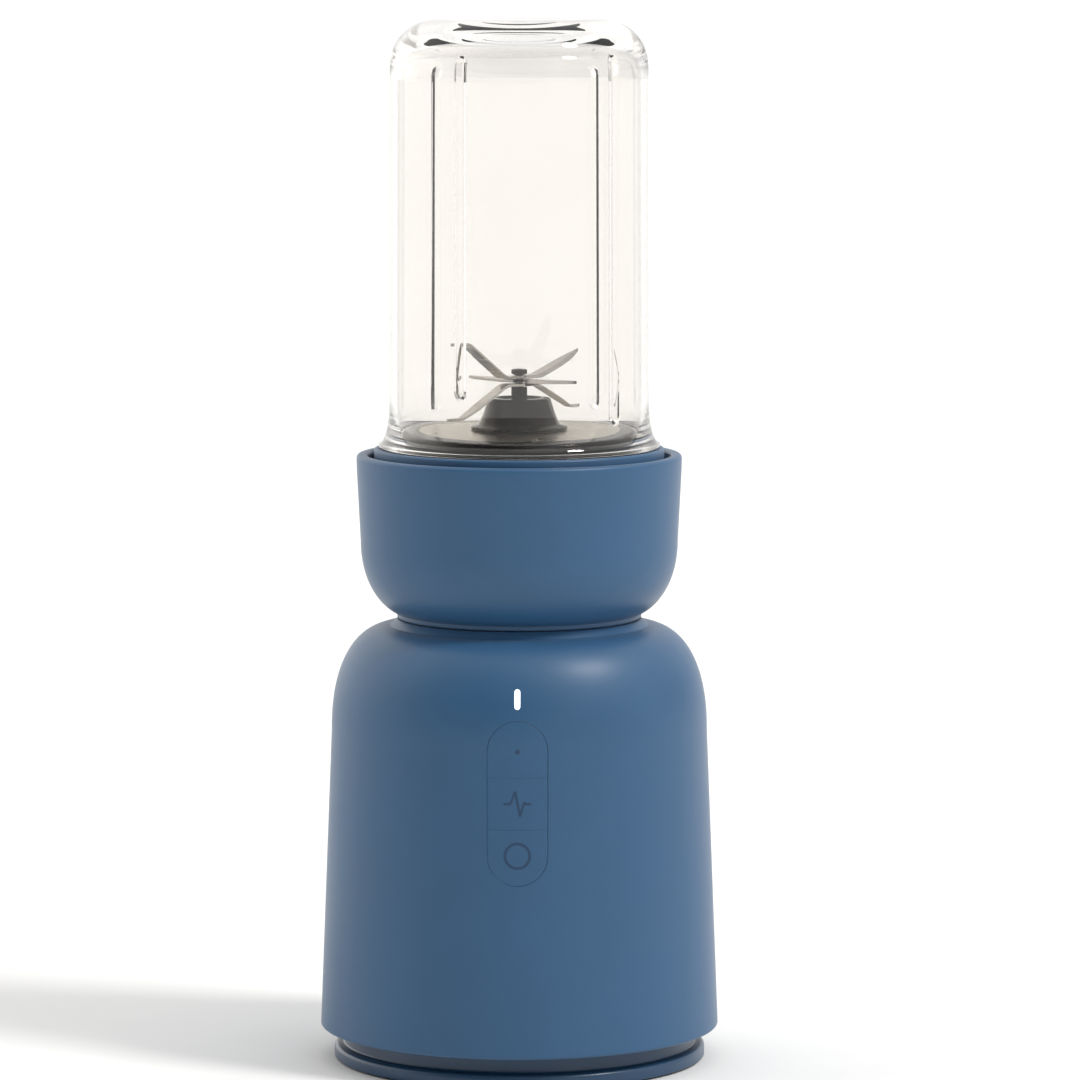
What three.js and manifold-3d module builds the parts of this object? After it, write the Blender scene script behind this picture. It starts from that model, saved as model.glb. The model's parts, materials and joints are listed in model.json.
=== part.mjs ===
// A countertop personal blender: a domed motor base with a cradle bowl, and an
// inverted clear jar screwed into a bladed cap that sits in the bowl.
// Millimetres, +Z up. The origin is on the main axis, on the surface the foot rests on.
// The control panel faces -Y.

import * as THREE from "three";
import { mergeVertices } from "three/addons/utils/BufferGeometryUtils.js";
import Module from "manifold-3d";

const wasm = await Module();
wasm.setup();

// ---------------------------------------------------------------- sizes

const gap = 0.3; // clearance between pieces that touch on the real object
const slack = 0.5; // clearance round pieces that turn or slide past others

const largeSides = 32; // facets round a large turned piece
const smallSides = 16; // facets round a small turned piece
const postSides = 10;
const screwSides = 8;

// Bottom cover and foot
const footSetback = 4.6; // from the skirt's radius in to the foot's
const footLipTop = 5.1;
const footLipBottom = 0.6;
const footOpeningSetback = 14.5;
const footRimWidth = 1.5;
const footLowEdge = 0.6;
const footHighEdge = 1.6;
const footPadSetback = 5.9;
const footPadWidth = 7.6;
const footPadHeight = 1.5;
const neckSetback = 8.1;
const neckWall = 4;
const coverThickness = 2.5;
const coverRecess = 0.5; // from the skirt's edge up to the cover
const ventCount = 10;
const ventLength = 16;
const ventWidth = 3.5;
const ventCircle = 26; // radius to the middle of a vent slot

// Motor housing
const skirtBottom = 11.1;
const skirtEdge = 1;
const housingDraft = 4; // how far the wall leans in from the skirt to the shoulder
const housingTop = 149.9;
const crownDrop = 2.4; // from the top down to the shoulder's upper end
const crownStep = 2.3; // from the bowl's seat out to the shoulder's upper end
const shoulderWidth = 20;
const shoulderHeight = 35.3;
const shoulderFullness = 0.893; // 1 is an ellipse, less is squarer
const housingWall = 2.6;
const housingHole = 27; // radius of the opening under the bowl

// Cradle bowl
const bowlRoundWidth = 18.2;
const bowlRoundHeight = 25.8;
const bowlFullness = 0.96;
const bowlSeatSweep = 72; // degrees of the round that show above the seat's lip
const bowlSideHeight = 29.2; // the side wall, from the round to the rim
const bowlSeatLip = 0.5;
const bowlDraft = 1.4;
const bowlRimWall = 4;
const bowlFloor = 3;
const rimRound = 1.4;
const sealHole = 9; // radius of the floor's hole for the shaft seal
const sealBrim = 12;
const sealHeight = 2.7;
const shelfWidth = 4;
const couplingRise = 8.7; // from the bowl's seat up to the drive coupling

// Jar
const jarRadius = 43.7;
const jarWall = 2.6;
const jarDraft = 0.3;
const jarHeight = 143.6; // from the flange to the closed end
const jarTopThickness = 6.4;
const jarCornerWidth = 17;
const jarCornerHeight = 16.6;
const jarFullness = 0.93;
const jarNeckStep = 0.5; // the neck is this much larger in radius than the jar
const jarFlareHeight = 15.7;
const jarFlangeThickness = 1.2;
const ribRound = 1.9;
const ribStop = 12; // below the closed end
const ribs = [
  { angle: 51, start: 10 }, // degrees from +X, and the rib's lower end above the flange
  { angle: 136, start: 9 },
  { angle: 243, start: 19 },
  { angle: 319, start: 10 },
];

// Blade cap
const capWall = 2.8;
const capSkirtStep = 1.5;
const capSkirtHeight = 20;
const capHeight = 30.5;
const capProud = 2.1; // how far the cap stands above the bowl's rim
const bandClearance = 0.65; // between the steel band and the jar's inside
const rimGap = 2; // between the cap and the bowl
const capGrooveDepth = 18;
const capWeb = 3.3;
const tabCount = 4;
const tabAngle = 24;
const tabHeight = 4;
const tabClearance = 0.7;
const ringThickness = 3.3;
const ringWidth = 8.5;
const ledgeThickness = 3;
const ledgeFreeAngle = 10; // play beside a tab as the cup drops in
const ledgeRise = 1.5; // from a tab's top up to the ledge it turns under
const twistAngle = 30; // how far the cup turns to lock
const ledgeClearance = 0.8; // from the cap's skirt out to a ledge
const dogClearance = 0.6; // from the cap's skirt out to a lock ring dog
const dogPlay = 3; // degrees from a tab to the dog beside it
const dogAngle = 4;

// Screw thread between jar and cap
const threadPitch = 5;
const threadRound = 1.3;
const threadTurns = 1.25;
const threadSteps = 32; // per turn
const threadEngagement = 0.8;
const threadRoom = 1.9; // from the neck to the cap's inner wall

// Blade set
const hubFootRadius = 16.5;
const hubBaseRadius = 13.7;
const hubTopRadius = 10.4;
const hubHeight = 12.7;
const hubBarrelRadius = 9;
const hubBoreRadius = 6.2;
const spindleRadius = 2.7;
const spindleTipRadius = 1.3;
const discThickness = 0.85;
const discBandHeight = 17;
const bladeThickness = 1;
const bladeWidth = 6.6;
const lowerBladeAngle = 217; // degrees from +X of a strip's first arm
const flatBladeAngle = 322;
const upperBladeAngle = 216;
const bladeRoot = 7; // from the axis out to a blade's bend
const nutAcrossFlats = 4.6;
const nutHeight = 1.8;
const hubNutAcrossFlats = 26;
const hubNutHeight = 5;
const hubCapThickness = 4;
const drivenRise = 8; // from the top of the drive coupling to the top of the driven one
const drivenDiscHeight = 6.5;
const drivenGrip = 4;

// Motor
const shaftRadius = 3;
const armatureRadius = 16.8;
const stackHeight = 30;
const stackBottom = 76;
const airGap = 0.7;
const stackHalfX = 26;
const stackHalfY = 30.5;
const backIron = 6;
const poleHalfWidth = 13;
const coilThickness = 5;
const bearingRadius = 8;
const bearingHeight = 7;
const mountX = 30;
const mountY = 24;
const mountRadius = 6;
const fanRadius = 24;
const fanBladeCount = 9;
const couplingRadius = 13;
const couplingDogs = 3;
const couplingDogAngle = 28;
const couplingDogInner = 6.5;
const couplingHeight = 10;
const mountWaist = 1.2;
const bracketPlate = 3;
const bracketRadius = 27;
const bearingCupWall = 3;
const upperPillarHeight = 12; // from the stator up to the upper bracket
const upperBearingDrop = 2;
const pillarRadius = 2.8;
const pillarInset = 3.2;
const armOverrun = 2;
const armEdge = 3;
const armWidth = 14;
const lugRoot = 0.4; // how near a lug starts to the axis, as a share of its reach
const lugHalf = 3;
const switchArmRoot = 20;
const switchArmEnd = 4;
const switchArmHalf = 6;
const lockSwitchHalfX = 3;
const lockSwitchHalfY = 10;
const plungerRadius = 1.5;
const plungerHeight = 1;
const poleTip = 6;
const poleSides = 32;
const coilDepth = 5.4;
const commutatorRadius = 9.5;
const commutatorLift = 3;
const commutatorHeight = 11;
const brushHalf = 2.5;
const brushTail = 22;
const holderHalf = 4;
const holderMouthGap = 2.5;
const holderEnd = 26;
const armatureSides = 24;
const slotCount = 12;
const slotDepth = 6;
const slotWidth = 2;
const windingHeight = 8;
const windingNeck = 10;
const windingRadius = 14.5;
const shaftTail = 2; // below the fan
const shaftGrip = 4; // into the drive coupling
const fanLow = 27;
const fanHigh = 38;
const fanEdge = 1;
const fanWeb = 2;
const fanHubRadius = 7;
const fanVaneRoot = 6;
const fanVaneWidth = 1.4;

// Control panel
const panelWidth = 20;
const panelHeight = 54.4;
const panelCentre = 95.9;
const keyPitch = 17.2;
const keyTravel = 0.6;
const keyThickness = 3;
const seam = 0.35;
const lightWidth = 1.8;
const lightHeight = 6.4;
const lightDrop = 19.8; // from the housing's top down to the light's centre
const boardThickness = 1.6;
const boardWidth = 26;
const boardSetback = 17; // from the skirt's radius in to the board's front
const boardMargin = 5; // the board beyond the keys and the light
const boardPostWidth = 5;
const boardPostSpacing = 19; // between the middles of the two posts
const keyCore = 3; // half the thick middle of a key
const keyFlangeThickness = 1.2;
const keyFlangeSide = 1.5; // the flange beyond the panel's opening
const keyFlangeEnds = 2;
const keyStemRadius = 2;
const switchHeight = 3.2;
const switchHalf = 3;
const switchButtonRadius = 1.6;
const switchButtonHeight = 0.8;

// Screws, bosses and the cord's gland
const screwRadius = 1.5;
const screwHeadRadius = 3;
const screwHeadHeight = 2;
const baseScrewLength = 15;
const bowlScrewLength = 9;
const bossRadius = 4.5;
const bossHeight = 18;
const bossInset = 5; // from the foot's opening in to the middle of a boss
const webThickness = 3;
const bossAngles = [45, 165, 285];
const bowlScrewCircle = 33;
const bowlScrewAngles = [90, 270];
const bowlBossRadius = 4;
const bowlBossHeight = 9;
const glandZ = 25;
const glandRadius = 6;
const glandBore = 3.4;
const glandDepth = 8;
const glandFlange = 2.5;

// Interlock
const pinCircle = 33;
const pinRadius = 2;
const pinAngle = 180;
const pinGuideWall = 2.5;
const pinGuideDrop = 6; // from the lock ring down to the pin's guide
const pinDepth = 14; // from the housing's top down to the pin's foot
const pinFoot = 1;
const pinCollarWidth = 1.5;
const pinCollarHeight = 2;
const rampRise = 2;
const rampClearance = 0.4;
const rampShelf = 4.5; // from the ring in to the shelf that carries the ramp
const rampSweep = 56;
const rampOverrun = 3;
const rampWidth = 8;
const rampInset = 5;

// ---------------------------------------------------------------- helpers

const rad = THREE.MathUtils.degToRad;

// A closed geometry as a solid: shared vertices merged, slivers with no area dropped.
function solid(geometry) {
  const bare = geometry.clone();
  for (const name of Object.keys(bare.attributes)) {
    if (name !== "position") {
      bare.deleteAttribute(name);
    }
  }
  const merged = mergeVertices(bare, 1e-3);
  const index = merged.index.array;
  const triangles = [];
  for (let i = 0; i < index.length; i += 3) {
    const [a, b, c] = [index[i], index[i + 1], index[i + 2]];
    if (a !== b && b !== c && c !== a) {
      triangles.push(a, b, c);
    }
  }
  return new wasm.Manifold(
    new wasm.Mesh({
      numProp: 3,
      vertProperties: new Float32Array(merged.attributes.position.array),
      triVerts: new Uint32Array(triangles),
    })
  );
}

// A solid back as a geometry.
function geometryOf(body) {
  const mesh = body.getMesh();
  const geometry = new THREE.BufferGeometry();
  geometry.setAttribute("position", new THREE.BufferAttribute(mesh.vertProperties, 3));
  geometry.setIndex(new THREE.BufferAttribute(mesh.triVerts, 1));
  geometry.computeVertexNormals();
  return geometry;
}

// The union of several solids.
function joined(...bodies) {
  return bodies.reduce((whole, body) => whole.add(body));
}

// A turned piece. The profile is a list of [radius, height], counter-clockwise,
// and it starts and ends on the axis or closes on itself.
function turned(profile, sides = largeSides) {
  const points = profile.map(([r, z]) => new THREE.Vector2(r, z));
  const onAxis = profile[0][0] === 0;
  if (!onAxis) {
    points.push(points[0].clone());
  }
  const geometry = new THREE.LatheGeometry(points, sides);
  geometry.rotateX(Math.PI / 2);
  return solid(geometry);
}

// Points of a quarter of a superellipse in the profile plane, angles in degrees.
// A fullness of 1 is an ellipse, and a smaller one is squarer.
function fullRound(centreR, centreZ, width, height, fullness, from, to, steps) {
  const points = [];
  for (let i = 0; i <= steps; i += 1) {
    const angle = rad(from + ((to - from) * i) / steps);
    const across = Math.max(Math.cos(angle), 0) ** fullness;
    const up = Math.max(Math.sin(angle), 0) ** fullness;
    points.push([centreR + width * across, centreZ + height * up]);
  }
  return points;
}

// A block between two corners.
function block(x0, y0, z0, x1, y1, z1) {
  const geometry = new THREE.BoxGeometry(x1 - x0, y1 - y0, z1 - z0);
  geometry.translate((x0 + x1) / 2, (y0 + y1) / 2, (z0 + z1) / 2);
  return solid(geometry);
}

// A round bar along Z.
function rod(radius, z0, z1, x = 0, y = 0, sides = smallSides) {
  const geometry = new THREE.CylinderGeometry(radius, radius, z1 - z0, sides);
  geometry.rotateX(Math.PI / 2);
  geometry.translate(x, y, (z0 + z1) / 2);
  return solid(geometry);
}

// A round bar along Y.
function crossRod(radius, y0, y1, x, z, sides = smallSides) {
  const geometry = new THREE.CylinderGeometry(radius, radius, y1 - y0, sides);
  geometry.translate(x, (y0 + y1) / 2, z);
  return solid(geometry);
}

// A ring with a square section.
function ring(inner, outer, z0, z1, sides = smallSides) {
  return turned([[inner, z0], [outer, z0], [outer, z1], [inner, z1]], sides);
}

// A part of a ring, centred on an angle from +X.
function ringSector(inner, outer, z0, z1, angle, width) {
  const steps = Math.max(2, Math.ceil(width / 9));
  const shape = new THREE.Shape();
  for (let i = 0; i <= steps; i += 1) {
    const a = rad(angle - width / 2 + (width * i) / steps);
    const [x, y] = [outer * Math.cos(a), outer * Math.sin(a)];
    if (i === 0) {
      shape.moveTo(x, y);
    } else {
      shape.lineTo(x, y);
    }
  }
  for (let i = steps; i >= 0; i -= 1) {
    const a = rad(angle - width / 2 + (width * i) / steps);
    shape.lineTo(inner * Math.cos(a), inner * Math.sin(a));
  }
  return plate(shape, z0, z1);
}

// A flat shape in XY pulled up from z0 to z1.
function plate(shape, z0, z1, curveSegments = 6) {
  const geometry = new THREE.ExtrudeGeometry(shape, {
    depth: z1 - z0,
    bevelEnabled: false,
    curveSegments,
  });
  geometry.translate(0, 0, z0);
  return solid(geometry);
}

// A flat shape drawn in XZ pulled along Y from y0 to y1.
function crossPlate(shape, y0, y1, curveSegments = 6) {
  const geometry = new THREE.ExtrudeGeometry(shape, {
    depth: y1 - y0,
    bevelEnabled: false,
    curveSegments,
  });
  geometry.rotateX(Math.PI / 2);
  geometry.translate(0, y1, 0);
  return solid(geometry);
}

// A rectangle whose short ends are half circles, upright in the XZ plane.
function stadium(width, height, centreZ) {
  const r = width / 2;
  const rise = height / 2 - r;
  const shape = new THREE.Shape();
  shape.moveTo(-r, centreZ - rise);
  shape.absarc(0, centreZ - rise, r, Math.PI, 2 * Math.PI);
  shape.lineTo(r, centreZ + rise);
  shape.absarc(0, centreZ + rise, r, 0, Math.PI);
  shape.lineTo(-r, centreZ - rise);
  return shape;
}

function rectangle(x0, y0, x1, y1) {
  const shape = new THREE.Shape();
  shape.moveTo(x0, y0);
  shape.lineTo(x1, y0);
  shape.lineTo(x1, y1);
  shape.lineTo(x0, y1);
  shape.lineTo(x0, y0);
  return shape;
}

// A hexagon across flats, for nuts.
function hexagon(acrossFlats) {
  const shape = new THREE.Shape();
  const corner = acrossFlats / Math.sqrt(3);
  for (let i = 0; i < 6; i += 1) {
    const a = rad(60 * i);
    if (i === 0) {
      shape.moveTo(corner, 0);
    } else {
      shape.lineTo(corner * Math.cos(a), corner * Math.sin(a));
    }
  }
  shape.closePath();
  return shape;
}

// A helix about the Z axis, rising from z0.
class Helix extends THREE.Curve {
  constructor(radius, z0, turns, pitch, startAngle) {
    super();
    Object.assign(this, { radius, z0, turns, pitch, startAngle });
  }

  getPoint(t, target = new THREE.Vector3()) {
    const angle = this.startAngle + 2 * Math.PI * this.turns * t;
    const x = this.radius * Math.cos(angle);
    const y = this.radius * Math.sin(angle);
    return target.set(x, y, this.z0 + this.pitch * this.turns * t);
  }
}

// A round bead that winds along a helix.
function bead(radius, z0, startAngle) {
  const section = new THREE.Shape();
  section.absarc(0, 0, threadRound, 0, 2 * Math.PI);
  const path = new Helix(radius, z0, threadTurns, threadPitch, startAngle);
  const geometry = new THREE.ExtrudeGeometry(section, {
    steps: Math.round(threadSteps * threadTurns),
    curveSegments: 3,
    bevelEnabled: false,
    extrudePath: path,
  });
  return solid(geometry);
}

// A pan-head screw that points up, with its head's underside at z.
function screwUp(x, y, z, length) {
  const head = rod(screwHeadRadius, z - screwHeadHeight, z, x, y, screwSides);
  return head.add(rod(screwRadius, z - screwHeadHeight / 2, z + length, x, y, screwSides));
}

const group = new THREE.Group();

// Adds a named sub-part with its own finish to a group.
function part(name, body, finish, parent = group) {
  const material = new THREE.MeshStandardMaterial(finish);
  const mesh = new THREE.Mesh(geometryOf(body), material);
  mesh.name = name;
  parent.add(mesh);
}

const blue = { color: 0x3c628a, roughness: 0.45, metalness: 0 };
const blackRubber = { color: 0x1c1d20, roughness: 0.8, metalness: 0 };
const clear = { color: 0xe9ecec, roughness: 0.05, metalness: 0, transparent: true, opacity: 0.3 };
const steel = { color: 0xb4b2ad, roughness: 0.25, metalness: 1 };
const darkSteel = { color: 0x4a4744, roughness: 0.2, metalness: 1 };
const laminated = { color: 0x6d6f73, roughness: 0.55, metalness: 0.8 };
const copper = { color: 0xb06a3a, roughness: 0.4, metalness: 0.9 };
const brass = { color: 0xb89452, roughness: 0.35, metalness: 0.9 };
const blackPlastic = { color: 0x222427, roughness: 0.6, metalness: 0 };
const greyPlastic = { color: 0x8b8f94, roughness: 0.6, metalness: 0 };
const boardGreen = { color: 0x1f5a3a, roughness: 0.5, metalness: 0 };
const milky = { color: 0xf7f8fa, roughness: 0.3, metalness: 0 };
const carbon = { color: 0x2b2b2d, roughness: 0.85, metalness: 0.1 };

// ---------------------------------------------------------------- fits

const jarInner = jarRadius - jarWall;
const neckOuter = jarRadius + jarNeckStep;
const discBandRadius = jarInner - bandClearance;
const capPlugRadius = discBandRadius - discThickness - gap;
const grooveOuter = neckOuter + threadRoom;
const capRadius = grooveOuter + capWall;
const capSkirtRadius = capRadius - capSkirtStep;
const jarFlangeRadius = capRadius - capSkirtStep;
const bowlInner = capRadius + rimGap;
const bowlRimRadius = bowlInner + bowlRimWall;
const bowlSideRadius = bowlRimRadius - bowlDraft;
const bowlRoundR = bowlSideRadius - bowlRoundWidth;
const bowlSeatRadius = bowlRoundR + bowlRoundWidth * Math.cos(rad(bowlSeatSweep)) ** bowlFullness;

const shoulderCentreR = bowlSeatRadius + crownStep;
const shoulderStartRadius = shoulderCentreR + shoulderWidth;
const skirtRadius = shoulderStartRadius + housingDraft;
const neckRadius = skirtRadius - neckSetback;
const footRadius = skirtRadius - footSetback;
const footPadRadius = skirtRadius - footPadSetback;
const footOpeningRadius = skirtRadius - footOpeningSetback;

const seatZ = housingTop + gap;
const sideZ = seatZ + bowlRoundHeight + gap;
const rimZ = sideZ + bowlSideHeight;
const capTop = rimZ + capProud;
const capBottom = capTop - capHeight;
const flangeZ = capTop + gap;
const jarTop = flangeZ + jarHeight;

// ---------------------------------------------------------------- motor housing

const shoulderStart = housingTop - crownDrop - shoulderHeight;
const housingTopFlat = bowlSeatRadius - gap; // radius where the crown meets the flat top
const lightCentre = housingTop - lightDrop;
const wallSlope = (skirtRadius - shoulderStartRadius) / (shoulderStart - skirtBottom);

// The housing's radius on its tapered wall.
function housingRadius(z) {
  return skirtRadius - (z - skirtBottom) * wallSlope;
}

// The outer profile from the skirt up to the flat top, moved inwards by a depth.
function housingProfile(depth, bottom) {
  return [
    [housingRadius(bottom) - depth - skirtEdge, bottom],
    [housingRadius(bottom) - depth, bottom + skirtEdge],
    ...fullRound(
      shoulderCentreR, shoulderStart, shoulderWidth - depth, shoulderHeight - depth,
      shoulderFullness, 0, 90, 6
    ),
    [housingTopFlat, housingTop - depth],
  ];
}

const coverTop = skirtBottom + coverRecess + coverThickness;
const coverRadius = housingRadius(skirtBottom) - housingWall - slack;
const coverLow = coverTop - coverThickness;
const bossCircle = footOpeningRadius - bossInset;
const bossTop = coverTop + bossHeight;
const boardFront = boardSetback - skirtRadius;
const boardBack = boardFront + boardThickness;
const boardLow = panelCentre - panelHeight / 2 - boardMargin;
const boardHigh = lightCentre + boardMargin;
const postFront = boardFront - gap;
const beyond = 1; // how far a cutting piece reaches past the wall it cuts

// The middle of a place on a circle round the axis.
function onCircle(radius, angle) {
  return [radius * Math.cos(rad(angle)), radius * Math.sin(rad(angle))];
}

const housingOuter = turned([[0, skirtBottom], ...housingProfile(0, skirtBottom), [0, housingTop]]);
const housingInner = turned([
  [0, skirtBottom - 1],
  ...housingProfile(housingWall, skirtBottom - 1),
  [0, housingTop - housingWall],
]);

function motorHousing() {
  let body = housingOuter.subtract(housingInner);
  const supports = [];
  for (const side of [-1, 1]) {
    const [near, far] = [boardPostSpacing - boardPostWidth, boardPostSpacing + boardPostWidth];
    const x0 = (side * (side < 0 ? far : near)) / 2;
    const x1 = (side * (side < 0 ? near : far)) / 2;
    supports.push(block(x0, -skirtRadius, boardLow, x1, postFront, boardLow + boardPostWidth));
  }
  for (const angle of bossAngles) {
    const bossLow = coverTop + gap;
    supports.push(rod(bossRadius, bossLow, bossTop, ...onCircle(bossCircle, angle), postSides));
    const web = new THREE.BoxGeometry(skirtRadius - bossCircle, webThickness, bossTop - bossLow);
    web.translate((skirtRadius + bossCircle) / 2, 0, (bossLow + bossTop) / 2);
    web.rotateZ(rad(angle));
    supports.push(solid(web));
  }
  body = body.add(joined(...supports).intersect(housingOuter));
  const screwHole = screwRadius + gap;
  for (const angle of bossAngles) {
    const at = onCircle(bossCircle, angle);
    body = body.subtract(rod(screwHole, coverTop, bossTop - webThickness, ...at, screwSides));
  }
  const opening = stadium(panelWidth, panelHeight, panelCentre);
  body = body.subtract(crossPlate(opening, -skirtRadius - beyond, postFront - 2 * beyond));
  const window = stadium(lightWidth + 2 * gap, lightHeight + 2 * gap, lightCentre);
  body = body.subtract(crossPlate(window, -skirtRadius - beyond, -shoulderCentreR));
  const wallLow = skirtRadius - 4 * housingWall;
  body = body.subtract(crossRod(glandRadius + gap, wallLow, skirtRadius + beyond, 0, glandZ));
  const roofLow = housingTop - 2 * housingWall;
  const roofHigh = housingTop + beyond;
  body = body.subtract(rod(housingHole, roofLow, roofHigh, 0, 0, largeSides));
  for (const angle of bowlScrewAngles) {
    const at = onCircle(bowlScrewCircle, angle);
    body = body.subtract(rod(screwHole, roofLow, roofHigh, ...at, screwSides));
  }
  const pinAt = onCircle(pinCircle, pinAngle);
  return body.subtract(rod(pinRadius + slack, roofLow, roofHigh, ...pinAt));
}

part("motor_housing", motorHousing(), blue);

// ---------------------------------------------------------------- bottom cover and foot

const padInner = footPadRadius - footPadWidth;
const padGroove = footPadHeight + gap;
const mountBottom = 44;
const mountTop = 50;
const mountPlaces = [
  [mountX, mountY],
  [-mountX, mountY],
  [-mountX, -mountY],
  [mountX, -mountY],
];
const mountPostRadius = 4;

function basePlate() {
  const footInner = footOpeningRadius - footRimWidth;
  let body = turned([
    [footInner, footLipTop],
    [footInner, footLipBottom],
    [padInner - gap, footLipBottom],
    [padInner - gap, padGroove],
    [footPadRadius + gap, padGroove],
    [footPadRadius + gap, footLipBottom],
    [footRadius - footLowEdge, footLipBottom],
    [footRadius, footLipBottom + footLowEdge],
    [footRadius, footLipTop - footHighEdge],
    [footRadius - footHighEdge, footLipTop],
    [neckRadius, footLipTop],
    [neckRadius, coverLow],
    [coverRadius, coverLow],
    [coverRadius, coverTop],
    [0, coverTop],
    [0, coverLow],
    [neckRadius - neckWall, coverLow],
    [neckRadius - neckWall, footLipTop],
  ]);
  for (let i = 0; i < ventCount; i += 1) {
    const slot = new THREE.BoxGeometry(ventLength, ventWidth, 4 * coverThickness);
    slot.translate(ventCircle, 0, (coverLow + coverTop) / 2);
    slot.rotateZ(rad((360 / ventCount) * (i + 0.5)));
    body = body.subtract(solid(slot));
  }
  for (const angle of bossAngles) {
    const at = onCircle(bossCircle, angle);
    const hole = rod(screwRadius + gap, coverLow - beyond, coverTop + beyond, ...at, screwSides);
    body = body.subtract(hole);
  }
  for (const [x, y] of mountPlaces) {
    body = body.add(rod(mountPostRadius, coverLow + beyond, mountBottom - gap, x, y, postSides));
  }
  return body;
}

part("base_plate", basePlate(), blue);
part("foot_pad", ring(padInner, footPadRadius, 0, footPadHeight, largeSides), blackRubber);
bossAngles.forEach((angle, i) => {
  const screw = screwUp(...onCircle(bossCircle, angle), coverLow - gap, baseScrewLength);
  part(`base_screw_${i + 1}`, screw, steel);
});

// The cord's strain relief, held by a flange inside the wall.
function cordGland() {
  const wall = housingRadius(glandZ);
  const outer = crossRod(glandRadius, wall - glandDepth, wall - gap, 0, glandZ);
  const flangeFar = wall - housingWall - 2 * slack;
  const flangeNear = flangeFar - housingWall;
  const flange = crossRod(glandRadius + glandFlange, flangeNear, flangeFar, 0, glandZ);
  return outer.add(flange).subtract(crossRod(glandBore, 0, skirtRadius + beyond, 0, glandZ));
}

part("cord_gland", cordGland(), blackRubber);

// ---------------------------------------------------------------- control panel

const keyShell = housingOuter.subtract(turned([
  [0, skirtBottom - beyond],
  ...housingProfile(keyThickness, skirtBottom - beyond),
  [0, housingTop - keyThickness],
]));
const switchFront = boardFront - switchHeight;
const stemTip = switchFront - gap - keyTravel;
const flangeFront = -(housingRadius(panelCentre) - housingWall - keyThickness);
const flangeBack = flangeFront + keyFlangeThickness;
const coreFront = -(housingRadius(panelCentre) - keyThickness / 2);
const panelLow = panelCentre - panelHeight / 2;
const panelHigh = panelCentre + panelHeight / 2;
const seamLow = panelCentre - keyPitch / 2;
const seamHigh = panelCentre + keyPitch / 2;

// One third of the panel: a curved cap, a thick middle, a flange that keeps it in
// the opening, and a stem that reaches its switch.
function panelKey(low, high) {
  const face = stadium(panelWidth - 2 * seam, panelHeight - 2 * seam, panelCentre);
  const column = crossPlate(face, -skirtRadius - beyond, flangeBack);
  const band = block(-panelWidth, -skirtRadius - beyond, low, panelWidth, 0, high);
  const skin = column.intersect(band).intersect(keyShell);
  const middle = (low + high) / 2;
  const core = block(
    -keyCore, coreFront, middle - keyCore,
    keyCore, flangeBack, middle + keyCore
  );
  const reach = keyPitch / 2 - keyFlangeEnds;
  const side = panelWidth / 2 + keyFlangeSide;
  const flange = block(-side, flangeFront, middle - reach, side, flangeBack, middle + reach);
  const stem = crossRod(keyStemRadius, flangeFront, stemTip, 0, middle, screwSides);
  return joined(skin, core, flange, stem);
}

function keySwitch(low, high) {
  const middle = (low + high) / 2;
  const body = block(
    -switchHalf, switchFront + switchButtonHeight, middle - switchHalf,
    switchHalf, boardFront - gap, middle + switchHalf
  );
  const buttonBack = switchFront + 2 * switchButtonHeight;
  const button = crossRod(switchButtonRadius, switchFront, buttonBack, 0, middle, screwSides);
  return body.add(button);
}

const keyBands = [
  ["ring", panelLow, seamLow - seam / 2],
  ["pulse", seamLow + seam / 2, seamHigh - seam / 2],
  ["dot", seamHigh + seam / 2, panelHigh],
];

for (const [name, low, high] of keyBands) {
  part(`key_${name}`, panelKey(low, high), blue);
  part(`switch_${name}`, keySwitch(low, high), blackPlastic);
}

part(
  "control_board",
  block(-boardWidth / 2, boardFront, boardLow, boardWidth / 2, boardBack, boardHigh),
  boardGreen
);

const lightBar = stadium(lightWidth, lightHeight, lightCentre);
part(
  "light_pipe",
  crossPlate(lightBar, -skirtRadius, boardFront - gap).intersect(housingOuter),
  milky
);

// ---------------------------------------------------------------- cradle bowl

const ringTop = capBottom - gap;
const ringBottom = ringTop - ringThickness;
const ringInner = bowlInner - slack - ringWidth;
const shelfZ = ringBottom - gap;
const shelfInner = bowlInner - shelfWidth;
const tabLow = capBottom + gap;
const tabTop = tabLow + tabHeight;
const ledgeLow = tabTop + ledgeRise;
const ledgeHigh = ledgeLow + ledgeThickness;
const ledgeInner = capSkirtRadius + ledgeClearance;
const couplingSeat = seatZ + couplingRise;
const guideTop = ringBottom - pinGuideDrop;

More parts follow.
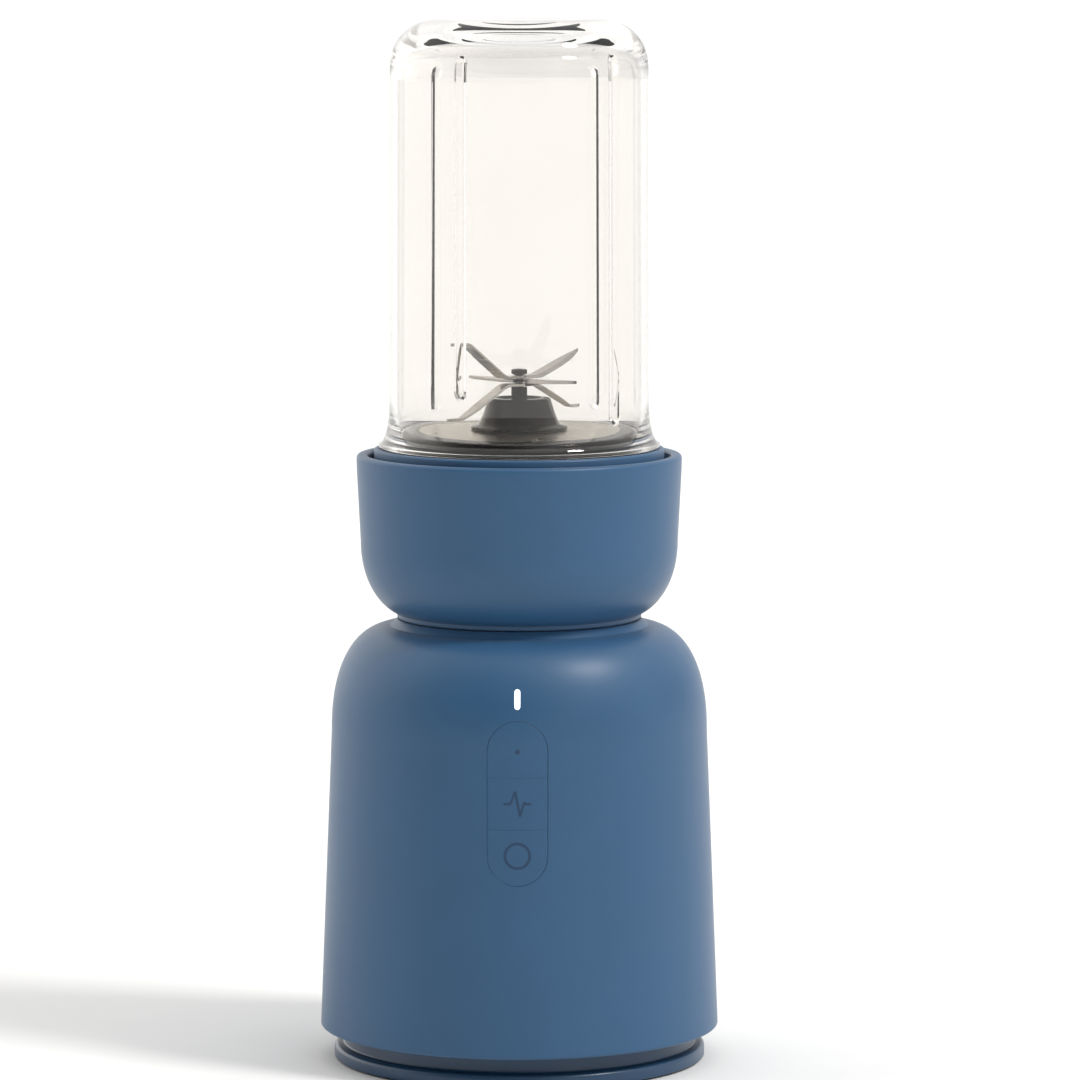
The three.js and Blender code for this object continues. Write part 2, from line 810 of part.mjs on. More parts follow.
function cradleBowl() {
  const outerRound = fullRound(
    bowlRoundR, sideZ, bowlRoundWidth, -bowlRoundHeight, bowlFullness, bowlSeatSweep, 0, 6
  );
  const innerRound = fullRound(
    bowlRoundR, shelfZ, shelfInner - bowlRoundR, seatZ + bowlFloor - shelfZ, bowlFullness, 0, 90, 4
  );
  let body = turned([
    [sealHole, seatZ],
    [bowlSeatRadius - bowlSeatLip, seatZ],
    [bowlSeatRadius, seatZ + bowlSeatLip],
    ...outerRound,
    [bowlRimRadius, rimZ - rimRound],
    [bowlRimRadius - rimRound, rimZ],
    [bowlInner + rimRound, rimZ],
    [bowlInner, rimZ - rimRound],
    [bowlInner, shelfZ],
    ...innerRound,
    [sealHole, seatZ + bowlFloor],
  ]);
  const pitch = 360 / tabCount;
  const width = pitch - tabAngle - ledgeFreeAngle;
  for (let i = 0; i < tabCount; i += 1) {
    const angle = pitch * (i + 0.5);
    const ledge = ringSector(ledgeInner, bowlInner + beyond, ledgeLow, ledgeHigh, angle, width);
    body = body.add(ledge);
  }
  const pinAt = onCircle(pinCircle, pinAngle);
  body = body.add(rod(pinRadius + pinGuideWall, seatZ + beyond, guideTop, ...pinAt));
  for (const angle of bowlScrewAngles) {
    const at = onCircle(bowlScrewCircle, angle);
    const bossEnd = seatZ + bowlBossHeight;
    body = body.add(rod(bowlBossRadius, seatZ + beyond, bossEnd, ...at, postSides));
    const holeEnd = bossEnd - screwRadius;
    body = body.subtract(rod(screwRadius + gap, seatZ - beyond, holeEnd, ...at, screwSides));
  }
  return body.subtract(rod(pinRadius + slack, seatZ - beyond, guideTop + beyond, ...pinAt));
}

part("cradle_bowl", cradleBowl(), blue);
bowlScrewAngles.forEach((angle, i) => {
  const roofUnderside = housingTop - housingWall - gap;
  const screw = screwUp(...onCircle(bowlScrewCircle, angle), roofUnderside, bowlScrewLength);
  part(`bowl_screw_${i + 1}`, screw, steel);
});

const sealSeat = seatZ + bowlFloor + gap;
part("shaft_seal", turned([
  [shaftRadius + gap, seatZ - beyond],
  [sealHole - gap, seatZ - beyond],
  [sealHole - gap, sealSeat],
  [sealBrim, sealSeat],
  [sealBrim, sealSeat + sealHeight / 2],
  [shaftRadius + gap, sealSeat + sealHeight],
], smallSides), blackRubber);

// ---------------------------------------------------------------- lock ring and interlock

const rampAngle = twistAngle;

function lockRing() {
  let body = ring(ringInner, bowlInner - slack, ringBottom, ringTop, largeSides);
  const dogInner = capSkirtRadius + dogClearance;
  for (const tab of [0, 2]) {
    for (const side of [-1, 1]) {
      const angle = (360 / tabCount) * tab + side * (tabAngle / 2 + dogPlay);
      const dogLow = ringTop - beyond;
      body = body.add(ringSector(dogInner, bowlInner - slack, dogLow, tabTop, angle, dogAngle));
    }
  }
  const rampMiddle = pinAngle + rampAngle / 2;
  const shelfNear = pinCircle - rampShelf;
  const shelfFar = ringInner + beyond;
  body = body.add(ringSector(shelfNear, shelfFar, ringBottom, ringTop, rampMiddle, rampSweep));
  return body.add(rampWedge(rampMiddle));
}

// A straight wedge below the ring: it sinks as the ring turns over the pin.
function rampWedge(middle) {
  const half = pinCircle * Math.sin(rad(rampAngle / 2));
  const root = ringBottom + beyond;
  const high = ringBottom - rampClearance;
  const low = high - rampRise;
  const shape = new THREE.Shape();
  shape.moveTo(-half - rampOverrun, root);
  shape.lineTo(-half - rampOverrun, high);
  shape.lineTo(-half, high);
  shape.lineTo(half, low);
  shape.lineTo(half + rampOverrun, low);
  shape.lineTo(half + rampOverrun, root);
  const geometry = new THREE.ExtrudeGeometry(shape, { depth: rampWidth, bevelEnabled: false });
  geometry.rotateX(Math.PI / 2);
  geometry.translate(0, -pinCircle + rampInset, 0);
  geometry.rotateZ(rad(middle + 90));
  return solid(geometry);
}

part("lock_ring", lockRing(), greyPlastic);

const pinX = pinCircle * Math.cos(rad(pinAngle));
const pinTop = ringBottom - rampClearance - slack;
const pinBottom = housingTop - pinDepth;
const pinCollar = rod(
  pinRadius + pinCollarWidth, pinBottom + pinFoot, pinBottom + pinFoot + pinCollarHeight, pinX, 0
);
part("interlock_pin", rod(pinRadius, pinBottom, pinTop, pinX, 0).add(pinCollar), greyPlastic);
const plungerTop = pinBottom - rampRise - slack;

// ---------------------------------------------------------------- motor, fixed pieces

const lowerPlateTop = mountTop + gap + bracketPlate;
const stackTop = stackBottom + stackHeight;
const upperPlateBottom = stackTop + upperPillarHeight;
const upperPlateTop = upperPlateBottom + bracketPlate;
const pillarX = stackHalfX - pillarInset;
const pillarY = stackHalfY - pillarInset;
const boreRadius = armatureRadius + airGap;
const cavityX = stackHalfX - backIron;
const cavityY = stackHalfY - backIron;
const lowerBearingZ = lowerPlateTop - bearingHeight;
const upperBearingZ = upperPlateBottom - upperBearingDrop;

for (const [i, [x, y]] of mountPlaces.entries()) {
  const body = turned([
    [0, mountBottom],
    [mountRadius, mountBottom],
    [mountRadius - mountWaist, (mountBottom + mountTop) / 2],
    [mountRadius, mountTop],
    [0, mountTop],
  ], postSides);
  part(`motor_mount_${i + 1}`, body.translate([x, y, 0]), blackRubber);
}

// A bearing plate with a cup for the bearing and four pillars that hold the stack.
function bracket(plateBottom, pillarFrom, pillarTo, cupLow, cupHigh, lugs) {
  const plateTop = plateBottom + bracketPlate;
  const bore = bearingRadius + gap;
  let body = ring(bore, bracketRadius, plateBottom, plateTop);
  body = body.add(ring(bore, bearingRadius + bearingCupWall, cupLow, cupHigh));
  for (const sx of [-1, 1]) {
    for (const sy of [-1, 1]) {
      const x = sx * pillarX;
      const y = sy * pillarY;
      const armEnd = sx * (pillarX + armOverrun);
      const armNear = sy * (pillarY - armWidth);
      const armFar = sy * (pillarY + armEdge);
      const arm = block(
        Math.min(0, armEnd), Math.min(armNear, armFar), plateBottom,
        Math.max(0, armEnd), Math.max(armNear, armFar), plateTop
      );
      const pillar = rod(pillarRadius, pillarFrom, pillarTo, x, y, screwSides);
      body = joined(body, arm, pillar);
    }
  }
  if (lugs) {
    for (const [x, y] of mountPlaces) {
      const root = x * lugRoot;
      const lug = block(
        Math.min(x, root), y - lugHalf, plateBottom,
        Math.max(x, root), y + lugHalf, plateTop
      );
      body = body.add(rod(mountRadius, plateBottom, plateTop, x, y, postSides)).add(lug);
    }
  }
  return body.subtract(rod(bore, cupLow - beyond, cupHigh + beyond));
}

part("lower_motor_bracket", bracket(
  mountTop + gap, mountTop + gap, stackBottom - gap, lowerBearingZ, lowerPlateTop, true
), laminated);
const switchArm = block(
  pinX - switchArmEnd, -switchArmHalf, upperPlateBottom,
  -switchArmRoot, switchArmHalf, upperPlateTop
);
part("upper_motor_bracket", bracket(
  upperPlateBottom, stackTop + gap, upperPlateTop, upperBearingZ, upperBearingZ + bearingHeight, false
).add(switchArm), laminated);
part(
  "interlock_switch",
  block(
    pinX - lockSwitchHalfX, -lockSwitchHalfY, upperPlateTop + gap,
    pinX + lockSwitchHalfX, lockSwitchHalfY, plungerTop - plungerHeight
  ).add(rod(plungerRadius, plungerTop - 2 * plungerHeight, plungerTop, pinX, 0, screwSides)),
  blackPlastic
);
part("lower_bearing", ring(
  shaftRadius + gap, bearingRadius, lowerBearingZ, lowerBearingZ + bearingHeight
), steel);
part("upper_bearing", ring(
  shaftRadius + gap, bearingRadius, upperBearingZ, upperBearingZ + bearingHeight
), steel);

function statorCore() {
  let body = plate(rectangle(-stackHalfX, -stackHalfY, stackHalfX, stackHalfY), stackBottom, stackTop);
  const low = stackBottom - beyond;
  const high = stackTop + beyond;
  body = body.subtract(block(-cavityX, -cavityY, low, cavityX, cavityY, high));
  for (const side of [-1, 1]) {
    const tip = side * poleTip;
    const root = side * (cavityY + beyond);
    body = body.add(block(
      -poleHalfWidth, Math.min(tip, root), stackBottom,
      poleHalfWidth, Math.max(tip, root), stackTop
    ));
  }
  return body.subtract(rod(boreRadius, low, high, 0, 0, poleSides));
}

part("stator_core", statorCore(), laminated);

function fieldCoil(side) {
  const inner = poleHalfWidth + gap;
  const outer = inner + coilThickness;
  const rise = stackHeight / 2 + gap;
  const near = side > 0 ? cavityY - gap - coilDepth : -cavityY + gap;
  const far = near + coilDepth;
  const middle = (stackBottom + stackTop) / 2;
  const high = rise + coilThickness;
  const body = block(-outer, near, middle - high, outer, far, middle + high);
  const hole = block(-inner, near - beyond, middle - rise, inner, far + beyond, middle + rise);
  return body.subtract(hole);
}

part("front_field_coil", fieldCoil(-1), copper);
part("rear_field_coil", fieldCoil(1), copper);

const commutatorLow = lowerPlateTop + commutatorLift;
const commutatorHigh = commutatorLow + commutatorHeight;
const brushMiddle = (commutatorLow + commutatorHigh) / 2;

for (const [name, side] of [["left", -1], ["right", 1]]) {
  const mouth = side * (commutatorRadius + holderMouthGap);
  const end = side * holderEnd;
  const x0 = Math.min(mouth, end);
  const x1 = Math.max(mouth, end);
  const channel = block(
    x0 - beyond, -brushHalf - gap, brushMiddle - brushHalf - gap,
    x1 + beyond, brushHalf + gap, brushMiddle + brushHalf + gap
  );
  const holder = block(
    x0, -holderHalf, lowerPlateTop + gap,
    x1, holderHalf, brushMiddle + holderHalf
  );
  part(`${name}_brush_holder`, holder.subtract(channel), brass);
  const tip = side * (commutatorRadius + gap);
  const tail = side * brushTail;
  const brush = block(
    Math.min(tip, tail), -brushHalf, brushMiddle - brushHalf,
    Math.max(tip, tail), brushHalf, brushMiddle + brushHalf
  );
  part(`${name}_carbon_brush`, brush, carbon);
}

// ---------------------------------------------------------------- motor, turning pieces

const driveHigh = couplingSeat + couplingHeight;

part("motor_shaft", turned([
  [0, fanLow - shaftTail],
  [shaftRadius, fanLow - shaftTail],
  [shaftRadius, couplingSeat + shaftGrip],
  [0, couplingSeat + shaftGrip],
], smallSides), steel);

// A slotted stack, one slot for each winding.
function armatureCore() {
  let body = rod(armatureRadius, stackBottom, stackTop, 0, 0, armatureSides);
  body = body.subtract(rod(shaftRadius + gap, stackBottom - beyond, stackTop + beyond));
  for (let i = 0; i < slotCount; i += 1) {
    const slot = new THREE.BoxGeometry(slotDepth, slotWidth, stackHeight + 2 * beyond);
    slot.translate(armatureRadius + beyond - slotDepth / 2, 0, (stackBottom + stackTop) / 2);
    slot.rotateZ(rad((360 / slotCount) * i));
    body = body.subtract(solid(slot));
  }
  return body;
}

part("armature_core", armatureCore(), laminated);
part("lower_winding", turned([
  [shaftRadius + gap, stackBottom - windingHeight],
  [windingNeck, stackBottom - windingHeight],
  [windingRadius, stackBottom - windingHeight / 2],
  [windingRadius, stackBottom - gap],
  [shaftRadius + gap, stackBottom - gap],
], smallSides), copper);
part("upper_winding", turned([
  [shaftRadius + gap, stackTop + gap],
  [windingRadius, stackTop + gap],
  [windingRadius, stackTop + windingHeight / 2],
  [windingNeck, stackTop + windingHeight],
  [shaftRadius + gap, stackTop + windingHeight],
], smallSides), copper);
part("commutator", ring(
  shaftRadius + gap, commutatorRadius, commutatorLow, commutatorHigh, armatureSides
), copper);

function coolingFan() {
  let body = ring(shaftRadius + gap, fanRadius - fanEdge, fanHigh - fanWeb, fanHigh);
  body = body.add(ring(shaftRadius + gap, fanHubRadius, fanLow, fanHigh));
  const length = fanRadius - fanVaneRoot;
  const height = fanHigh - fanLow - fanEdge;
  for (let i = 0; i < fanBladeCount; i += 1) {
    const vane = new THREE.BoxGeometry(length, fanVaneWidth, height);
    vane.translate(fanVaneRoot + length / 2, 0, fanLow + height / 2);
    vane.rotateZ(rad((360 / fanBladeCount) * i));
    body = body.add(solid(vane));
  }
  return body;
}

part("cooling_fan", coolingFan(), blackPlastic);

// Dogs spread round a coupling, the first centred on a start angle.
function dogs(z0, z1, startAngle) {
  const bodies = [];
  for (let i = 0; i < couplingDogs; i += 1) {
    const angle = startAngle + (360 / couplingDogs) * i;
    bodies.push(ringSector(couplingDogInner, couplingRadius, z0, z1, angle, couplingDogAngle));
  }
  return joined(...bodies);
}

const driveDiscTop = couplingSeat + couplingHeight / 2;
const driveBody = ring(shaftRadius + gap, couplingRadius, couplingSeat, driveDiscTop);
part("drive_coupling", driveBody.add(dogs(driveDiscTop - beyond, driveHigh, 0)), blackPlastic);

// ---------------------------------------------------------------- blade cap

const grooveFloor = capTop - capGrooveDepth;
const plugTop = capTop + 2.8;
const discTop = plugTop + gap + discThickness;
const webLow = grooveFloor - capWeb;

function bladeCap() {
  let body = turned([
    [hubBarrelRadius + gap, plugTop - capWeb],
    [capPlugRadius - 2.6, plugTop - capWeb],
    [capPlugRadius - 2.6, webLow],
    [capSkirtRadius - 3, webLow],
    [capSkirtRadius - 3, capBottom],
    [capSkirtRadius, capBottom],
    [capSkirtRadius, capBottom + capSkirtHeight],
    [capRadius, capBottom + capSkirtHeight + 1.5],
    [capRadius, capTop - 0.8],
    [capRadius - 0.8, capTop],
    [grooveOuter + 0.9, capTop],
    [grooveOuter, capTop - 1],
    [grooveOuter, grooveFloor],
    [capPlugRadius, grooveFloor],
    [capPlugRadius, plugTop],
    [hubBarrelRadius + gap, plugTop],
  ]);
  for (let i = 0; i < tabCount; i += 1) {
    const angle = (360 / tabCount) * i;
    const outer = bowlInner - tabClearance;
    body = body.add(ringSector(capSkirtRadius - 1, outer, tabLow, tabTop, angle, tabAngle));
  }
  return body.add(bead(capThreadRadius, threadLow + threadPitch / 2, 0));
}

const jarThreadRadius = neckOuter + 0.1;
const capThreadRadius = jarThreadRadius + 2 * threadRound - threadEngagement;
const threadLow = grooveFloor + 3.4;

part("blade_cap", bladeCap(), blue);

const gasketTop = grooveFloor + gap + 1.4;
part("seal_gasket", ring(
  capPlugRadius + discThickness + 2 * gap, neckOuter + 0.4, grooveFloor + gap, gasketTop, largeSides
), greyPlastic);

part("blade_disc", turned([
  [hubBarrelRadius + gap, plugTop + gap],
  [discBandRadius - discThickness, plugTop + gap],
  [discBandRadius - discThickness, discTop - discBandHeight],
  [discBandRadius, discTop - discBandHeight],
  [discBandRadius, discTop - 0.6],
  [discBandRadius - 0.6, discTop],
  [hubBarrelRadius + gap, discTop],
]), steel);

const hubFoot = discTop + gap;
const hubTop = hubFoot + hubHeight;
const hubBottom = plugTop - capWeb - 9;
part("bearing_hub", turned([
  [hubBoreRadius, hubBottom],
  [hubBarrelRadius, hubBottom],
  [hubBarrelRadius, hubFoot],
  [hubFootRadius, hubFoot],
  [hubBaseRadius, hubFoot + 1.3],
  [hubTopRadius, hubTop - 0.9],
  [hubTopRadius - 0.9, hubTop],
  [spindleRadius + slack, hubTop],
  [spindleRadius + slack, hubTop - hubCapThickness],
  [hubBoreRadius, hubTop - hubCapThickness],
], 24), darkSteel);
part("hub_bush", ring(
  spindleRadius + gap, hubBoreRadius - gap, hubBottom + 1, hubTop - hubCapThickness - gap
), brass);
const hubNutTop = plugTop - capWeb - gap;
const hubNut = plate(hexagon(hubNutAcrossFlats), hubNutTop - hubNutHeight, hubNutTop)
  .subtract(rod(hubBarrelRadius + gap, hubBottom - beyond, plugTop));
part("hub_nut", hubNut, steel);

// ---------------------------------------------------------------- jar

const jarMouth = gasketTop + gap;
const flareTop = flangeZ + jarFlareHeight;
const ribHigh = jarTop - ribStop;

function jar() {
  const cornerR = jarRadius - jarDraft - jarCornerWidth;
  const cornerZ = jarTop - jarCornerHeight;
  const ceiling = jarTop - jarTopThickness;
  const innerWidth = jarCornerWidth - jarWall;
  const innerHeight = jarCornerHeight - jarWall;
  const lipTop = flangeZ + jarFlangeThickness;
  const flare = fullRound(
    jarFlangeRadius, flareTop, jarRadius - jarFlangeRadius, lipTop - flareTop, 1, 90, 0, 5
  );
  let body = turned([
    [jarInner + jarDraft, jarMouth],
    [neckOuter, jarMouth],
    [neckOuter, flangeZ],
    [jarFlangeRadius, flangeZ],
    ...flare,
    ...fullRound(cornerR, cornerZ, jarCornerWidth, jarCornerHeight, jarFullness, 0, 90, 5),
    [0, jarTop],
    [0, ceiling],
    ...fullRound(cornerR, ceiling - innerHeight, innerWidth, innerHeight, jarFullness, 90, 0, 4),
    [jarInner, flareTop],
  ]);
  body = body.add(bead(jarThreadRadius, threadLow, 0));
  for (const { angle, start } of ribs) {
    const ribLow = flangeZ + start;
    const length = ribHigh - ribLow - 2 * ribRound;
    const rib = new THREE.CapsuleGeometry(ribRound, length, 2, 8);
    rib.rotateX(Math.PI / 2);
    rib.translate(...onCircle(jarInner, angle), (ribLow + ribHigh) / 2);
    body = body.add(solid(rib));
  }
  return body;
}

part("jar", jar(), clear);

// ---------------------------------------------------------------- blade set

const bladeSeat = hubTop + 3.6;
const bladeStep = bladeThickness + gap;
const nutLow = bladeSeat + gap + 3 * bladeStep;
const drivenHigh = driveHigh + drivenRise;
const drivenLow = drivenHigh - drivenDiscHeight;

part("blade_spindle", turned([
  [0, drivenHigh - drivenGrip],
  [spindleRadius, drivenHigh - drivenGrip],
  [spindleRadius, bladeSeat],
  [spindleTipRadius, bladeSeat],
  [spindleTipRadius, nutLow + nutHeight - 0.6],
  [0, nutLow + nutHeight - 0.6],
], smallSides), darkSteel);

// One arm of a blade strip, drawn along +X: flat by the spindle, then bent up or
// down, with a leaf-shaped outline that narrows to the tip.
function bladeArm(reach, rise, tipFlat) {
  const outline = new THREE.Shape();
  const half = bladeWidth / 2;
  outline.moveTo(-1, -half);
  outline.lineTo(reach * 0.45, -half);
  outline.quadraticCurveTo(reach * 0.85, -half * 0.9, reach, half * 0.55);
  outline.quadraticCurveTo(reach * 0.9, half, reach * 0.6, half);
  outline.lineTo(-1, half);
  outline.closePath();
  const column = plate(outline, -30, 30, 3);
  const t = bladeThickness;
  const side = new THREE.Shape();
  const tipStart = reach - tipFlat;
  side.moveTo(-2, 0);
  side.lineTo(bladeRoot, 0);
  side.lineTo(tipStart, rise);
  if (tipFlat > 0) {
    side.lineTo(reach + 2, rise);
    side.lineTo(reach + 2, rise + t);
    side.lineTo(tipStart, rise + t);
  } else {
    side.lineTo(tipStart, rise + t);
  }
  side.lineTo(bladeRoot, t);
  side.lineTo(-2, t);
  side.closePath();
  return column.intersect(crossPlate(side, -20, 20));
}

// A two-ended strip with a hole for the spindle's tip.
function bladeStrip(level, angle, arms) {
  let body = null;
  for (const [i, [reach, rise, tipFlat]] of arms.entries()) {
    const arm = bladeArm(reach, rise, tipFlat).rotate([0, 0, 180 * i]);
    body = body ? body.add(arm) : arm;
  }
  body = body.subtract(rod(spindleTipRadius + gap, -40, 40));
  return body.rotate([0, 0, angle]).translate([0, 0, bladeSeat + gap + level * bladeStep]);
}

// Each arm: how far it reaches, how far its tip rises, and the length of its flat tip.
const lowerArms = [[31, -11, 6], [27, -8.5, 5]];
const flatArms = [[23, 0.4, 0], [20.5, 0.4, 0]];
const upperArms = [[29, 12, 7], [26, 8, 0]];
part("lower_blade", bladeStrip(0, lowerBladeAngle, lowerArms), steel);
part("flat_blade", bladeStrip(1, flatBladeAngle, flatArms), steel);
part("upper_blade", bladeStrip(2, upperBladeAngle, upperArms), steel);
const nutHole = rod(spindleTipRadius + gap, nutLow - beyond, nutLow + nutHeight + beyond);
const bladeNut = plate(hexagon(nutAcrossFlats), nutLow, nutLow + nutHeight).subtract(nutHole);
part("blade_nut", bladeNut, darkSteel);

const drivenStart = 70;
const drivenDogLow = driveDiscTop + beyond;
const drivenBody = ring(spindleRadius + gap, couplingRadius, drivenLow, drivenHigh)
  .add(dogs(drivenDogLow, drivenLow + beyond, drivenStart));
part("driven_coupling", drivenBody, blackPlastic);

export default group;
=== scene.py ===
"""Looks for a countertop blender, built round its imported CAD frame.

Lengths are in metres once they reach Blender. Profiles and sizes are written in
millimetres and turned into metres by the functions that make the meshes.
"""

import json
import math

import bmesh
import bpy
from mathutils import Matrix, Vector


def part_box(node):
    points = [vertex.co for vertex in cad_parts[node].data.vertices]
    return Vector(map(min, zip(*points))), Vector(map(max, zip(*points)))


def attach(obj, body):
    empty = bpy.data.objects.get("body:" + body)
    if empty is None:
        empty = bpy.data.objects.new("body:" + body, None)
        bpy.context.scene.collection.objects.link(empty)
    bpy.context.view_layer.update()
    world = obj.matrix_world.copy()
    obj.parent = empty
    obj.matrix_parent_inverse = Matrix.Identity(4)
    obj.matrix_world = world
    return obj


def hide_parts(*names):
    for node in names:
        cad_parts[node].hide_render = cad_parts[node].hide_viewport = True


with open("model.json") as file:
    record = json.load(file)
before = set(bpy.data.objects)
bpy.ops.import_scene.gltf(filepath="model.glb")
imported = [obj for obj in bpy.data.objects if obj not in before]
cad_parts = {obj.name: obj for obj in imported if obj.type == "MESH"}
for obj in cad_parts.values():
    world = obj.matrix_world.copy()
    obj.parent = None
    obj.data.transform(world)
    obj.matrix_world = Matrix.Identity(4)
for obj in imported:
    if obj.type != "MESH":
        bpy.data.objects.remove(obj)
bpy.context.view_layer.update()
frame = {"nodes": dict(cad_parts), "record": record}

MM = 0.001
scene = bpy.context.scene


# ---- places from the frame


def low(node):
    """The lowest corner of a CAD node, in millimetres."""
    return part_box(node)[0] / MM


def high(node):
    """The highest corner of a CAD node, in millimetres."""
    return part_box(node)[1] / MM


GAP = 0.3

HOUSING_TOP = high("motor_housing").z
SKIRT_BOTTOM = low("motor_housing").z
SKIRT_RADIUS = high("motor_housing").x
SKIRT_EDGE = 1.0
HOUSING_DRAFT = 4.0
HOUSING_WALL = 2.6
HOUSING_HOLE = 27.0
CROWN_DROP = 2.4
CROWN_STEP = 2.3
SHOULDER_WIDTH = 20.0
SHOULDER_HEIGHT = 35.3
SHOULDER_FULLNESS = 0.893
SHOULDER_START = HOUSING_TOP - CROWN_DROP - SHOULDER_HEIGHT
SHOULDER_CENTRE = SKIRT_RADIUS - HOUSING_DRAFT - SHOULDER_WIDTH
SEAT_RADIUS = SHOULDER_CENTRE - CROWN_STEP

PANEL_WIDTH = 20.0
PANEL_LOW = low("key_ring").z - 0.35
PANEL_HIGH = high("key_dot").z + 0.35
PANEL_CENTRE = (PANEL_LOW + PANEL_HIGH) / 2
SEAM_LOW = (high("key_ring").z + low("key_pulse").z) / 2
SEAM_HIGH = (high("key_pulse").z + low("key_dot").z) / 2
LIGHT_CENTRE = (low("light_pipe").z + high("light_pipe").z) / 2
LIGHT_HEIGHT = high("light_pipe").z - low("light_pipe").z
LIGHT_WIDTH = high("light_pipe").x - low("light_pipe").x
GLAND_CENTRE = (low("cord_gland").z + high("cord_gland").z) / 2

BOWL_SEAT = low("cradle_bowl").z
BOWL_RIM = high("cradle_bowl").z
BOWL_RADIUS = high("cradle_bowl").x
BOWL_DRAFT = 1.4
BOWL_ROUND_WIDTH = 18.2
BOWL_ROUND_HEIGHT = 25.8
BOWL_FULLNESS = 0.96
BOWL_RIM_WALL = 4.0
BOWL_INNER = BOWL_RADIUS - BOWL_RIM_WALL
BOWL_SIDE = BOWL_SEAT + BOWL_ROUND_HEIGHT + GAP

FLANGE_RADIUS = high("jar").x
JAR_TOP = high("jar").z
JAR_MOUTH = low("jar").z
JAR_RADIUS = FLANGE_RADIUS - 3.7
JAR_WALL = 2.6
JAR_DRAFT = 0.3
JAR_INNER = JAR_RADIUS - JAR_WALL
NECK_RADIUS = JAR_RADIUS + 0.5
CAP_TOP = BOWL_RIM + 2.1
FLANGE_BOTTOM = CAP_TOP + GAP
FLARE_TOP = FLANGE_BOTTOM + 15.7

CAP_BOTTOM = CAP_TOP - 30.5
CAP_GROOVE = CAP_TOP - 18
CAP_NECK = NECK_RADIUS + 1.9
CAP_RADIUS = CAP_NECK + 2.8
CAP_SKIRT = CAP_RADIUS - 1.5
TAB_HEIGHT = 4.0
HUB_BORE = 9.3
DISC_STEEL = 0.85
DISC_GAP = 0.65

THREAD_RADIUS = NECK_RADIUS + 0.1
THREAD_LOW = CAP_GROOVE + 3.4
THREAD_TURNS = 1.25
THREAD_PITCH = 5.0
THREAD_SIZE = 1.3
THREAD_FADE = 12

LOCK_TOP = CAP_BOTTOM - GAP
LOCK_BOTTOM = LOCK_TOP - 3.3
LOCK_OUTER = BOWL_INNER - 0.5


# ---- mesh building


def rounded(corners, steps=5):
    """A closed outline of (r, z, fillet) corners, each turned into an arc."""
    outline = []
    for i, (r, z, fillet) in enumerate(corners):
        here = Vector((r, z))
        if fillet == 0:
            outline.append((r, z))
            continue
        before = (Vector(corners[i - 1][:2]) - here).normalized()
        after = (Vector(corners[(i + 1) % len(corners)][:2]) - here).normalized()
        half = before.angle(after) / 2
        centre = here + (before + after).normalized() * fillet / math.sin(half)
        start = here + before * fillet / math.tan(half) - centre
        end = here + after * fillet / math.tan(half) - centre
        sweep = math.atan2(start.x * end.y - start.y * end.x, start.dot(end))
        for k in range(steps + 1):
            turn = sweep * k / steps
            c, s = math.cos(turn), math.sin(turn)
            outline.append((centre.x + start.x * c - start.y * s, centre.y + start.x * s + start.y * c))
    return outline


def full_round(centre_r, centre_z, width, height, fullness, start, end, steps):
    """Points of a superellipse quarter. A fullness of 1 is an ellipse, and less is squarer."""
    points = []
    for k in range(steps + 1):
        angle = math.radians(start + (end - start) * k / steps)
        across = max(math.cos(angle), 0) ** fullness
        up = max(math.sin(angle), 0) ** fullness
        points.append((centre_r + width * across, centre_z + height * up))
    return points


def spaced(start, end, count):
    """Count + 1 evenly spaced values."""
    return [start + (end - start) * k / count for k in range(count + 1)]


def bridged(first, second, count):
    """Quads between two loops of vertex numbers."""
    return [
        (first[k], first[(k + 1) % count], second[(k + 1) % count], second[k])
        for k in range(count)
    ]


def turned(profile, columns=192, reshape=None, angles=None):
    """A closed profile of (r, z) turned about Z. reshape(r, z, angle) may move a radius."""
    angles = angles or [2 * math.pi * j / columns for j in range(columns)]
    columns = len(angles)
    vertices = []
    for r, z in profile:
        for angle in angles:
            radius = reshape(r, z, angle) if reshape else r
            vertices.append((radius * math.cos(angle), radius * math.sin(angle), z))
    faces = []
    rows = len(profile)
    for i in range(rows):
        here = range(i * columns, (i + 1) * columns)
        after = (i + 1) % rows
        if profile[i][0] == 0 and profile[after][0] == 0:
            continue
        faces += bridged(here, range(after * columns, (after + 1) * columns), columns)
    return vertices, faces


def hoop(inner, outer, bottom, top, fillets, columns):
    """A plain ring. Its four fillets go round from the inner bottom corner."""
    corners = ((inner, bottom), (outer, bottom), (outer, top), (inner, top))
    outline = [(*corner, fillet) for corner, fillet in zip(corners, fillets)]
    return turned(rounded(outline), columns)


def post(bore, foot_radius, radius, bottom, top, fillets):
    """A post with a spreading foot. Its two fillets are the outer and the inner top edge."""
    foot_height = 3.0
    return turned(rounded([
        (bore, bottom, 0), (foot_radius, bottom, 0), (radius, bottom + foot_height, 1.0),
        (radius, top, fillets[0]), (bore, top, fillets[1]),
    ]), 48)


def sector(inner, outer, z0, z1, angle, width):
    """A part of a ring, centred on an angle in degrees from +X."""
    steps = max(3, round(width / 2))
    vertices = []
    for a in spaced(math.radians(angle - width / 2), math.radians(angle + width / 2), steps):
        for r, z in ((inner, z0), (outer, z0), (outer, z1), (inner, z1)):
            vertices.append((r * math.cos(a), r * math.sin(a), z))
    faces = [(0, 1, 2, 3), tuple(4 * steps + k for k in (3, 2, 1, 0))]
    for i in range(steps):
        faces += bridged(range(4 * i, 4 * i + 4), range(4 * i + 4, 4 * i + 8), 4)
    return vertices, faces


